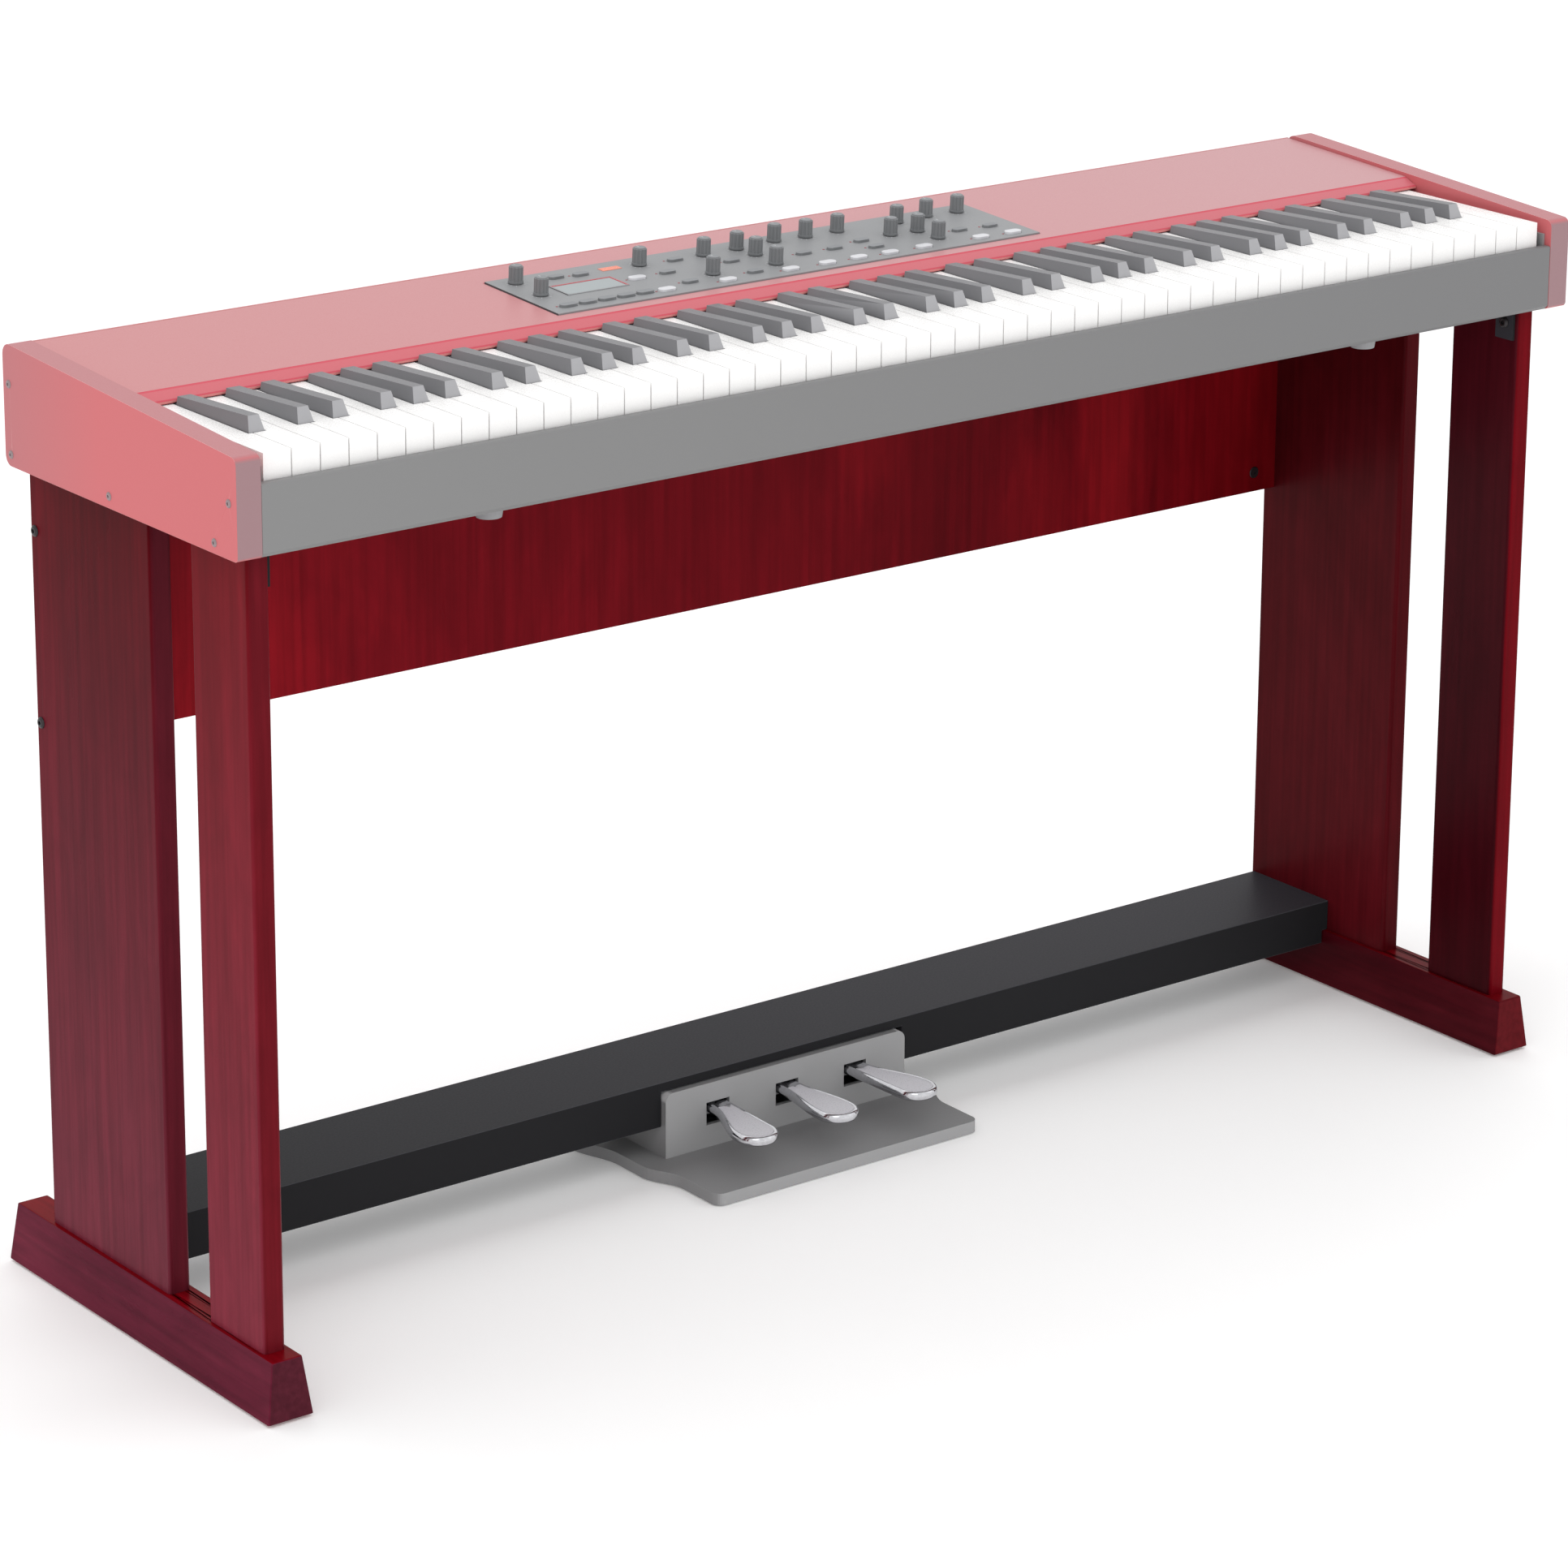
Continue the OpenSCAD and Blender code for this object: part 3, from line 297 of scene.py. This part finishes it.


# Cherry stain: each board has its own cut of veneer and its own tones. The fall of tone up each upright
# and the colours of the fronts and foot tops are painted light and shade.
M["lacquer_lr"] = upright_lacquer("lacquer_left_rear", (rgb(66, 0, 8), rgb(98, 4, 20), rgb(126, 20, 38)),
                                  (2, 0, 0), rgb(122, 54, 70), rgb(88, 0, 10), rgb(92, 24, 36))
M["lacquer_lf"] = upright_lacquer("lacquer_left_front", (rgb(80, 2, 16), rgb(108, 14, 28), rgb(140, 32, 48)),
                                  (5, 1, 0), rgb(136, 54, 70), rgb(114, 12, 20), rgb(108, 22, 32))
M["lacquer_rr"] = upright_lacquer("lacquer_right_rear", (rgb(50, 2, 8), rgb(80, 14, 20), rgb(108, 26, 34)),
                                  (0, 3, 1), rgb(82, 12, 20), rgb(58, 2, 6), rgb(78, 8, 16))
M["lacquer_rf"] = upright_lacquer("lacquer_right_front", (rgb(44, 4, 10), rgb(68, 12, 20), rgb(92, 20, 30)),
                                  (1, 7, 2), rgb(56, 2, 10), rgb(74, 16, 26), rgb(108, 6, 18))
M["lacquer_fl"] = foot_lacquer("lacquer_left_foot", (rgb(88, 22, 42), rgb(112, 36, 56), rgb(134, 54, 72)),
                               (0, 0, 4), rgb(84, 32, 44), rgb(122, 6, 18))
M["lacquer_fr"] = foot_lacquer("lacquer_right_foot", (rgb(46, 2, 10), rgb(68, 8, 18), rgb(90, 20, 30)),
                               (3, 0, 4), rgb(96, 22, 28), rgb(104, 4, 14))
M["lacquer_panel"] = lacquer("lacquer_panel", "z", rgb(66, 0, 8), rgb(108, 8, 20), rgb(176, 26, 36),
                             cloud_scale=4.2, fade=(*SPAN, rgb(150, 22, 36), rgb(70, 0, 4)))

# Paint, plastic and metal
# Painted shade on the front faces and a painted highlight along the top front edges.
M["black"] = painted("black_lacquer", rgb(30, 30, 33), rough=0.45, grain=600, vary=0.12, spec=0.06,
                     fade=(*SPAN, rgb(36, 36, 39), rgb(58, 57, 62)), face_shading=((*FRONT, rgb(36, 36, 38)),),
                     bevel_highlight=(("yz",), rgb(74, 74, 78)))
# Painted reflection: the half-turned faces of the cover's nose are a more saturated red; faces that look
# forward or back, such as the hem, take a lighter painted highlight.
M["rose"] = painted("rose_paint", rgb(188, 122, 125), rough=0.36, vary=0.02, spec=0.2,
                    fade=(*SPAN, rgb(198, 130, 132), rgb(196, 148, 152)),
                    face_shading=(("y", 0.2, 0.45, rgb(206, 84, 98)), ("y", 0.8, 0.95, rgb(214, 134, 132))))
# Painted light on the cheeks: the front ends and tops take greyer copies of the paint, and the outer top
# bevels a pale painted highlight.
M["cheek"] = painted("cheek_paint", rgb(188, 104, 109), rough=0.4, vary=0.03, spec=0.2,
                     fade=("y", 0.0, 0.32 + cad_low.y, rgb(206, 106, 110), rgb(186, 112, 116)),
                     face_shading=((*FRONT, rgb(156, 124, 128)), ("z", 0.6, 0.95, rgb(184, 120, 124))),
                     bevel_highlight=(("xz",), rgb(246, 190, 190)))
M["rail"] = painted("rail_paint", rgb(126, 126, 127), rough=0.5, vary=0.03, spec=0.3,
                    fade=(*SPAN, rgb(132, 132, 132), rgb(119, 119, 120)))
M["sheet"] = painted("grey_sheet", rgb(150, 150, 151), rough=0.5)
# Painted shade: the panel's side faces that look along x are dark.
M["panel"] = painted("panel_paint", rgb(146, 147, 149), rough=0.5, vary=0.03, spec=0.2,
                     face_shading=(("x", 0.6, 0.9, rgb(86, 84, 86)),))
M["board"] = painted("circuit_board", rgb(60, 120, 85), rough=0.5)
M["dark_plastic"] = painted("dark_plastic", rgb(60, 60, 62), rough=0.5)
M["display"] = painted("display", rgb(146, 154, 156), rough=0.15, spec=0.3)
M["lamp"] = painted("lamp", rgb(232, 128, 100), rough=0.25, spec=0.3)
M["pale"] = painted("pale_button", rgb(208, 208, 212), rough=0.35, spec=0.3)
# Painted light: the tops of the knobs and dark buttons are lighter.
M["knob"] = painted("knob_plastic", rgb(120, 122, 124), rough=0.5, spec=0.25,
                    face_shading=(("z", 0.6, 0.95, rgb(136, 138, 141)),))
# Painted light and shade on the black keys: sides that look along x darker, fronts lighter, and a painted
# highlight on the bevels.
M["sharp"] = painted("sharp_plastic", rgb(116, 116, 119), rough=0.38, vary=0.03, spec=0.2,
                     face_shading=(("x", 0.5, 0.95, rgb(104, 104, 107)), (*FRONT, rgb(140, 140, 143))),
                     bevel_highlight=(("yz", "xz"), rgb(172, 172, 175)))
M["white"] = painted("white_plastic", rgb(250, 249, 248), rough=0.28, vary=0.01, bump=0.01, spec=0.3)
# Painted light on the pedal casting: front faces lighter and a painted highlight on the bevels.
M["cast"] = painted("pedal_casting", rgb(138, 138, 139), rough=0.5, spec=0.2,
                    face_shading=((*FRONT, rgb(160, 160, 161)),), bevel_highlight=(("yz", "xz"), rgb(176, 176, 177)))
M["rubber"] = painted("rubber", rgb(150, 150, 152), rough=0.8)
M["felt"] = painted("felt", rgb(150, 150, 152), rough=0.95, grain=1400, bump=0.3, spec=0.1)
M["steel"] = metal("steel", rgb(150, 150, 152), 0.35)
M["screw"] = metal("grey_screw", rgb(150, 134, 136), 0.45, metallic=0.4)
M["bolt"] = metal("black_bolt", rgb(52, 48, 50), 0.35, metallic=0.6)
M["chrome"] = metal("chrome", rgb(206, 206, 210), 0.16)
M["plate_top"] = painted("pedal_top", rgb(196, 195, 201), rough=0.3, spec=0.4, vary=0.02)
M["mark"] = painted("white_print", rgb(196, 198, 200), rough=0.6, spec=0.2)
M["lens_dark"] = painted("small_lamp", rgb(150, 84, 88), rough=0.2, spec=0.3)
M["red"] = painted("red_trim", rgb(176, 70, 78), rough=0.3, spec=0.3)

LOOK = {"back_panel": "lacquer_panel", "pedal_bar": "black", "stand_brackets": "black", "fasteners": "bolt",
        "rubber_pads": "rubber", "left_cheek": "cheek", "right_cheek": "cheek", "top_cover": "rose",
        "rear_panel": "rose", "bottom_tray": "sheet", "front_rail": "rail", "key_frame": "steel",
        "circuit_boards": "board", "rear_sockets": "dark_plastic", "power_switch": "dark_plastic",
        "control_panel": "panel", "display_window": "display", "lamp_lens": "lamp", "dark_buttons": "knob",
        "light_buttons": "pale", "pedal_base": "cast", "pedal_shaft": "steel"}
for name, obj in nodes.items():
    if name in LOOK:
        kind = LOOK[name]
    elif name.endswith("_foot"):
        kind = "lacquer_f" + name[0]
    elif name.endswith("_upright"):
        side, end = name.split("_")[:2]
        kind = "lacquer_" + side[0] + end[0]
    elif name.startswith("knob_"):
        kind = "knob"
    elif name.startswith("keys_"):
        kind = "sharp" if name.endswith("sharp") else "white"
    else:
        kind = "chrome"
    obj.data.materials.clear()
    obj.data.materials.append(M[kind])


# ---------------------------------------------------------------- softened edges on CAD nodes
def soften(name, width, segments=2):
    """Rounds the sharp edges of a CAD node with modifiers."""
    obj = nodes[name]
    weld = obj.modifiers.new("weld", "WELD")
    weld.merge_threshold = 0.00001
    bev = obj.modifiers.new("edges", "BEVEL")
    bev.width = width
    bev.segments = segments
    bev.limit_method = "ANGLE"
    bev.angle_limit = math.radians(35)
    bev.harden_normals = True


EDGES = {"left_foot": 0.0015, "right_foot": 0.0015, "left_rear_upright": 0.0008, "left_front_upright": 0.0008,
         "right_rear_upright": 0.0008, "right_front_upright": 0.0008, "back_panel": 0.001, "pedal_bar": 0.0006,
         "left_cheek": 0.0012, "right_cheek": 0.0012, "front_rail": 0.0006, "pedal_base": 0.0008}
for name, bevel in EDGES.items():
    soften(name, bevel)
for name in nodes:
    if name.startswith("keys_"):
        soften(name, 0.0009 if name.endswith("sharp") else 0.0005)
    elif name.startswith("knob_"):
        soften(name, 0.0003)
soften("dark_buttons", 0.0006)
soften("light_buttons", 0.0009, 3)
soften("top_cover", 0.0006)


# ---------------------------------------------------------------- detail pieces
joints = {j["name"]: j for j in frame["joints"]}


def piece(name, bm, kinds, body="case_and_stand", sharp=30):
    """Makes a visible object from mesh code with the given materials. It rides on a body."""
    bmesh.ops.recalc_face_normals(bm, faces=bm.faces)
    me = bpy.data.meshes.new(name)
    bm.to_mesh(me)
    bm.free()
    for p in me.polygons:
        p.use_smooth = True
    me.set_sharp_from_angle(angle=math.radians(sharp))
    for kind in kinds:
        me.materials.append(M[kind])
    obj = bpy.data.objects.new(name, me)
    scene.collection.objects.link(obj)
    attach(obj, body)
    return obj


def loft(bm, rings, cap_first=True, cap_last=True, kind=0):
    """Skins a list of closed rings of points."""
    rows = [[bm.verts.new(p) for p in ring] for ring in rings]
    n = len(rows[0])
    for a, b in zip(rows, rows[1:]):
        for i in range(n):
            bm.faces.new((a[i], a[(i + 1) % n], b[(i + 1) % n], b[i])).material_index = kind
    if cap_first:
        bm.faces.new(rows[0][::-1]).material_index = kind
    if cap_last:
        bm.faces.new(rows[-1]).material_index = kind


def inset(points, d):
    """Moves a closed counter-clockwise outline inwards."""
    out = []
    n = len(points)
    for i in range(n):
        a, b, c = Vector(points[i - 1]), Vector(points[i]), Vector(points[(i + 1) % n])
        e1, e2 = (b - a).normalized(), (c - b).normalized()
        nrm = Vector((-(e1.y + e2.y), e1.x + e2.x))
        nrm = nrm.normalized() / max(0.6, nrm.length / 2) if nrm.length else Vector((0, 0))
        out.append(b + nrm * d)
    return out


def ease(t):
    """Smooth step from 0 to 1."""
    t = min(1.0, max(0.0, t))
    return t * t * (3 - 2 * t)


# Pedals: a neck that swells into a rounded plate with a rolled chrome rim and a pale crowned top
middle_low, middle_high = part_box("pedal_middle")
plate_r = (middle_high.x - middle_low.x) / 2
wall_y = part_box("pedal_bar")[0].y - 0.005
neck_half, half_t, boss_r, bore_r = 0.010, 0.004, 0.008, 0.0041
boss_turns, boss_chamfer = 32, 0.0006
# (distance in from the outline, height as a share of half_t), from the underside round the rim to the top
LEVER_SECTION = ((0.0030, -1.0), (0.0012, -0.88), (0.0003, -0.55), (0.0, -0.1), (0.0002, 0.35),
                 (0.0009, 0.72), (0.0020, 0.94), (0.0031, 1.0), (0.0037, 0.90))
TOP_SECTION = ((0.0038, 0.86), (0.0040, 0.93), (0.0052, 0.965), (0.0075, 0.985), (0.0092, 0.99))
# (distance through the felt, distance in from its outline)
FLAP_SECTION = ((0, 0.0004), (0.0004, 0), (0.0012, 0), (0.0016, 0.0004))
flap_back, flap_half, flap_below, flap_above, flap_corner = 0.0085, 0.0122, 0.0085, 0.0125, 0.002


def pedal_outline(px, cx, toe, start=0.0, back_y=None):
    """Outline seen from above, from start (0 at the housing, 1 at the plate) round the toe and back.
    The neck runs on to back_y when that is given."""
    plate_y = toe + plate_r
    right, left = [], []
    steps = 26
    if back_y is not None:
        right.append((px + neck_half, back_y))
        left.append((px - neck_half, back_y))
    for i in range(steps + 1):
        s = start + (1 - start) * i / steps
        y = wall_y + (plate_y - wall_y) * s
        half = neck_half + (plate_r - neck_half) * ease(s * 1.12 - 0.06)
        mid = px + (cx - px) * ease(s)
        right.append((mid + half, y))
        left.append((mid - half, y))
    turns = [a * math.pi / 24 for a in range(1, 24)]
    arc = [(cx - plate_r * math.cos(a), plate_y - plate_r * math.sin(a)) for a in turns]
    return left + arc + right[::-1]


def pedal_lever(outline, px, py, pz):
    """The lever's skin and the boss that turns on the shaft."""
    bm = bmesh.new()
    loft(bm, [[(p[0], p[1], pz + k * half_t) for p in inset(outline, d)] for d, k in LEVER_SECTION])
    chamfered = boss_r - boss_chamfer
    rings = []
    for x, r in ((-neck_half, bore_r), (-neck_half, chamfered), (-neck_half + boss_chamfer, boss_r),
                 (neck_half - boss_chamfer, boss_r), (neck_half, chamfered), (neck_half, bore_r),
                 (-neck_half, bore_r)):
        ring = []
        for i in range(boss_turns):
            a = 2 * math.pi * i / boss_turns
            ring.append((px + x, py + r * math.cos(a), pz + r * math.sin(a)))
        rings.append(ring)
    loft(bm, rings, False, False)
    return bm


def pedal_flap(px, pz):
    """Felt on the neck, just inside the housing, that keeps dust out of the slot."""
    bm = bmesh.new()
    y0 = wall_y + flap_back
    w, c, zl, zh = flap_half, flap_corner, pz - flap_below, pz + flap_above
    outline = [(px - w, zl + c), (px - w + c, zl), (px + w - c, zl), (px + w, zl + c),
               (px + w, zh - c), (px + w - c, zh), (px - w + c, zh), (px - w, zh - c)]
    loft(bm, [[(x, y0 + d, z) for x, z in inset(outline, q)] for d, q in FLAP_SECTION])
    return bm


for name, side in (("pedal_left", -1), ("pedal_middle", 0), ("pedal_right", 1)):
    px, py, pz = joints[name + "_press"]["pos_m"]
    lo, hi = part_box(name)
    cx = (lo.x + plate_r, px, hi.x - plate_r)[side + 1]
    lever = pedal_lever(pedal_outline(px, cx, lo.y, back_y=py), px, py, pz)
    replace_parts(piece(name + "_lever", lever, ["chrome"], name, sharp=50), name)
    bm = bmesh.new()
    top = pedal_outline(px, cx, lo.y, start=0.10)
    loft(bm, [[(p[0], p[1], pz + k * half_t) for p in inset(top, d)] for d, k in TOP_SECTION])
    piece(name + "_top", bm, ["plate_top"], name, sharp=60)
    piece(name + "_flap", pedal_flap(px, pz), ["felt"], name)


# Screws and bolts: domed heads with a hexagon socket, on shafts with a chamfered tip; barrel nuts with a
# hexagon socket
def islands(obj):
    """The points of each loose part of a mesh."""
    bm = bmesh.new()
    bm.from_mesh(obj.data)
    bmesh.ops.remove_doubles(bm, verts=bm.verts, dist=1e-6)
    seen = set()
    for v in bm.verts:
        if v in seen:
            continue
        group, todo = [], [v]
        seen.add(v)
        while todo:
            u = todo.pop()
            group.append(u.co.copy())
            for e in u.link_edges:
                o = e.other_vert(u)
                if o not in seen:
                    seen.add(o)
                    todo.append(o)
        yield group
    bm.free()


def turned(bm, start, axis, stations, kind=0, hexed=2, turns=24):
    """Lathe work along axis from start. The first hexed stations are six-sided."""
    ref = Vector((0, 0, 1)) if abs(axis.z) < 0.9 else Vector((1, 0, 0))
    u = axis.cross(ref).normalized()
    v = axis.cross(u)
    rings = []
    for k, (r, d) in enumerate(stations):
        ring = []
        for i in range(turns):
            a = 2 * math.pi * i / turns
            rr = r
            if k < hexed:
                near = (a % (math.pi / 3)) - math.pi / 6
                rr = r * math.cos(math.pi / 6) / math.cos(near)
            ring.append(start + axis * d + (u * math.cos(a) + v * math.sin(a)) * rr)
        rings.append(ring)
    loft(bm, rings, kind=kind)


BARREL_STRETCH = 1.7  # anything shorter than this for its width is a barrel nut
SMALL_HEAD_R, BOLT_HEAD_R = 0.0036, 0.0045


def barrel_nut(bm, start, axis, r, length):
    turned(bm, start, axis, ((r * 0.35, 0.001), (r * 0.35, 0.0), (r - 0.0004, 0.0), (r, 0.0004),
                             (r, length - 0.0004), (r - 0.0004, length)))


def head_height(big):
    if big < SMALL_HEAD_R:
        return 0.001
    return 0.002 if abs(big - BOLT_HEAD_R) < 0.0002 else 0.0026


def screw(bm, start, axis, big, shaft, length, kind):
    head = head_height(big)
    turned(bm, start, axis, ((big * 0.36, head * 0.75), (big * 0.40, head * 0.08), (big * 0.55, 0.0),
                             (big * 0.72, head * 0.10), (big * 0.9, head * 0.42), (big, head * 0.85),
                             (big, head), (shaft, head + 0.00005), (shaft, length - 0.0012),
                             (shaft * 0.7, length)), kind)


def reach_at(pts, mid, k, others, at):
    """Half the width of a part at one end of its long axis k."""
    return max(max(abs(p[i] - mid[i]) for i in others) for p in pts if abs(p[k] - at) < 1e-4)


bm = bmesh.new()
for pts in islands(nodes["fasteners"]):
    lo = Vector([min(p[i] for p in pts) for i in range(3)])
    hi = Vector([max(p[i] for p in pts) for i in range(3)])
    size = hi - lo
    k = max(range(3), key=lambda i: size[i])
    others = [i for i in range(3) if i != k]
    start, axis = (lo + hi) / 2, Vector((0, 0, 0))
    mid = start.copy()
    if size[k] < BARREL_STRETCH * max(size[i] for i in others):
        start[k], axis[k] = lo[k], 1.0
        barrel_nut(bm, start, axis, min(size[i] for i in others) / 2, size[k])
        continue
    at_low, at_high = (reach_at(pts, mid, k, others, end) for end in (lo[k], hi[k]))
    head_low = at_low > at_high
    start[k], axis[k] = (lo[k], 1.0) if head_low else (hi[k], -1.0)
    big = max(size[i] for i in others) / 2
    in_cheek = abs(start.x) > cad_high.x - 0.004 and size.x > size.z and big < SMALL_HEAD_R
    screw(bm, start, axis, big, at_high if head_low else at_low, size[k], 1 if in_cheek else 0)
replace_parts(piece("screws_and_bolts", bm, ["bolt", "screw"], sharp=35), "fasteners")


# Control panel: print, lamps and the display's trim, laid out on the panel's own sloping plane
slope_n = Vector(joints["knob_1_turn"]["axis"]).normalized()
slope_v = Vector((1, 0, 0)).cross(slope_n) * -1
rise = 0.001  # how far the panel stands above the cover
sunk, print_t = 0.0001, 0.00012
KNOBS = range(1, 18)
knob_r = (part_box("knob_1")[1].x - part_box("knob_1")[0].x) / 2


def on_panel(centre, x, y, h):
    return centre + Vector((1, 0, 0)) * x + slope_v * y + slope_n * h


def strip(bm, centre, outline, low, high, chamfer=0.0001, kind=0):
    """A flat raised mark with chamfered edges. outline is in panel coordinates round centre."""
    levels = ((outline, low), (outline, high - chamfer), (inset(outline, chamfer), high))
    loft(bm, [[on_panel(centre, x, y, h) for x, y in points] for points, h in levels], kind=kind)


def bar_outline(x, y, angle, length, width, taper=1.0):
    c, s = math.cos(angle), math.sin(angle)
    end = width / 2 * taper
    pts = ((0, -width / 2), (length, -end), (length, end), (0, width / 2))
    return [(x + a * c - b * s, y + a * s + b * c) for a, b in pts]


# Ticks round each knob, with a longer one at both ends and in the middle
bm = bmesh.new()
tick_r = knob_r + 0.0010
for n in KNOBS:
    centre = Vector(joints["knob_%d_turn" % n]["pos_m"])
    for t in range(11):
        a = math.radians(90 - 150 + 30 * t)
        tick_l = 0.0022 if t in (0, 5, 10) else 0.0014
        outline = bar_outline(math.cos(a) * tick_r, math.sin(a) * tick_r, a, tick_l, 0.0005, 0.8)
        strip(bm, centre, outline, rise - sunk, rise + print_t)
piece("dial_marks", bm, ["mark"])

for n in KNOBS:
    name = "knob_%d" % n
    centre = Vector(joints[name + "_turn"]["pos_m"])
    tops = max((Vector(v.co) - centre).dot(slope_n) for v in nodes[name].data.vertices)
    bm = bmesh.new()
    outline = bar_outline(0, 0.0012, math.pi / 2, knob_r - 0.0030, 0.0008, 0.75)
    strip(bm, centre, outline, tops - 0.0004, tops + 0.00005)
    piece(name + "_pointer", bm, ["mark"], name)

# Trim round the display: a thin frame whose rear and right sides are red
disp_low, disp_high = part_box("display_window")
centre = (disp_low + disp_high) / 2
wide = (disp_high.x - disp_low.x) / 2
deep = (Vector((0, disp_high.y - disp_low.y, disp_high.z - disp_low.z)).dot(slope_v)) / 2
above = (centre - Vector(joints["knob_2_turn"]["pos_m"])).dot(slope_n)
plane = centre - slope_n * above
bm = bmesh.new()
xo, yo = wide + 0.0016, deep + 0.0016
xi, yi = wide - 0.0001, deep - 0.0001
trim_parts = (([(-xo, yo), (xo, yo), (xi, yi), (-xi, yi)], 1),
              ([(xo, yo), (xo, -yo), (xi, -yi), (xi, yi)], 1),
              ([(xo, -yo), (-xo, -yo), (-xi, -yi), (xi, -yi)], 0),
              ([(-xo, -yo), (-xo, yo), (-xi, yi), (-xi, -yi)], 0))
for outline, kind in trim_parts:
    strip(bm, plane, outline[::-1], rise - sunk, rise + 0.0006, 0.0002, kind)
piece("display_trim", bm, ["panel", "red"])

# A small lamp beside each button and a short rule behind it
LAMP_PROFILE = ((0.0010, 0.0), (0.0010, 0.0003), (0.0008, 0.0005), (0.0004, 0.00062))
lamps, rules = bmesh.new(), bmesh.new()
for buttons, lamp_x, lamp_y, rule_y in (("light_buttons", -0.0098, 0.0, 0.0052),
                                        ("dark_buttons", -0.0090, 0.0022, 0.0046)):
    centres = {}
    for pts in islands(nodes[buttons]):
        c = Vector([(min(p[i] for p in pts) + max(p[i] for p in pts)) / 2 for i in range(3)])
        centres[(round(c.x, 4), round(c.y, 4))] = c
    for c in centres.values():
        c = c - slope_n * (c - Vector(joints["knob_1_turn"]["pos_m"])).dot(slope_n)
        turned(lamps, on_panel(c, lamp_x, lamp_y, 0) + slope_n * (rise - 0.0002), slope_n, LAMP_PROFILE,
               hexed=0, turns=14)
        strip(rules, on_panel(c, 0.002, rule_y, 0), bar_outline(-0.005, 0, 0, 0.006, 0.0005),
              rise - sunk, rise + print_t)
piece("status_lamps", lamps, ["lens_dark"])
piece("panel_rules", rules, ["mark"])


# ---------------------------------------------------------------- studio
FLOOR_HALF = 40.0
# name, place, width and power of each soft light
LIGHTS = (("key_light", (-2.6, -3.0, 3.6), 2.6, 22), ("fill_light", (3.2, -2.2, 2.6), 3.0, 6),
          ("top_light", (0.0, 0.6, 3.4), 3.2, 14))
LIGHT_AIM = Vector((0, 0, 0.5))


def make_floor():
    bm = bmesh.new()
    s = FLOOR_HALF
    for x, y in ((-s, -s), (s, -s), (s, s), (-s, s)):
        bm.verts.new((x, y, 0))
    bm.faces.new(bm.verts)
    me = bpy.data.meshes.new("floor")
    bm.to_mesh(me)
    bm.free()
    floor = bpy.data.objects.new("floor", me)
    scene.collection.objects.link(floor)
    paint = painted("floor_paint", (0.96, 0.96, 0.96, 1), rough=0.6, vary=0.005, spec=0.1)
    shader = paint.node_tree.nodes["Principled BSDF"]
    shader.inputs["Emission Color"].default_value = (1, 1, 1, 1)
    shader.inputs["Emission Strength"].default_value = 0.12
    me.materials.append(paint)


def make_lights():
    world = bpy.data.worlds.new("studio")
    scene.world = world
    world.use_nodes = True
    bg = world.node_tree.nodes["Background"]
    bg.inputs["Color"].default_value = (1, 1, 1, 1)
    bg.inputs["Strength"].default_value = 1.0
    for name, place, size, power in LIGHTS:
        data = bpy.data.lights.new(name, "AREA")
        data.size = size
        data.energy = power
        light = bpy.data.objects.new(name, data)
        light.location = place
        light.rotation_euler = (LIGHT_AIM - Vector(place)).to_track_quat("-Z", "Y").to_euler()
        scene.collection.objects.link(light)


make_floor()
make_lights()
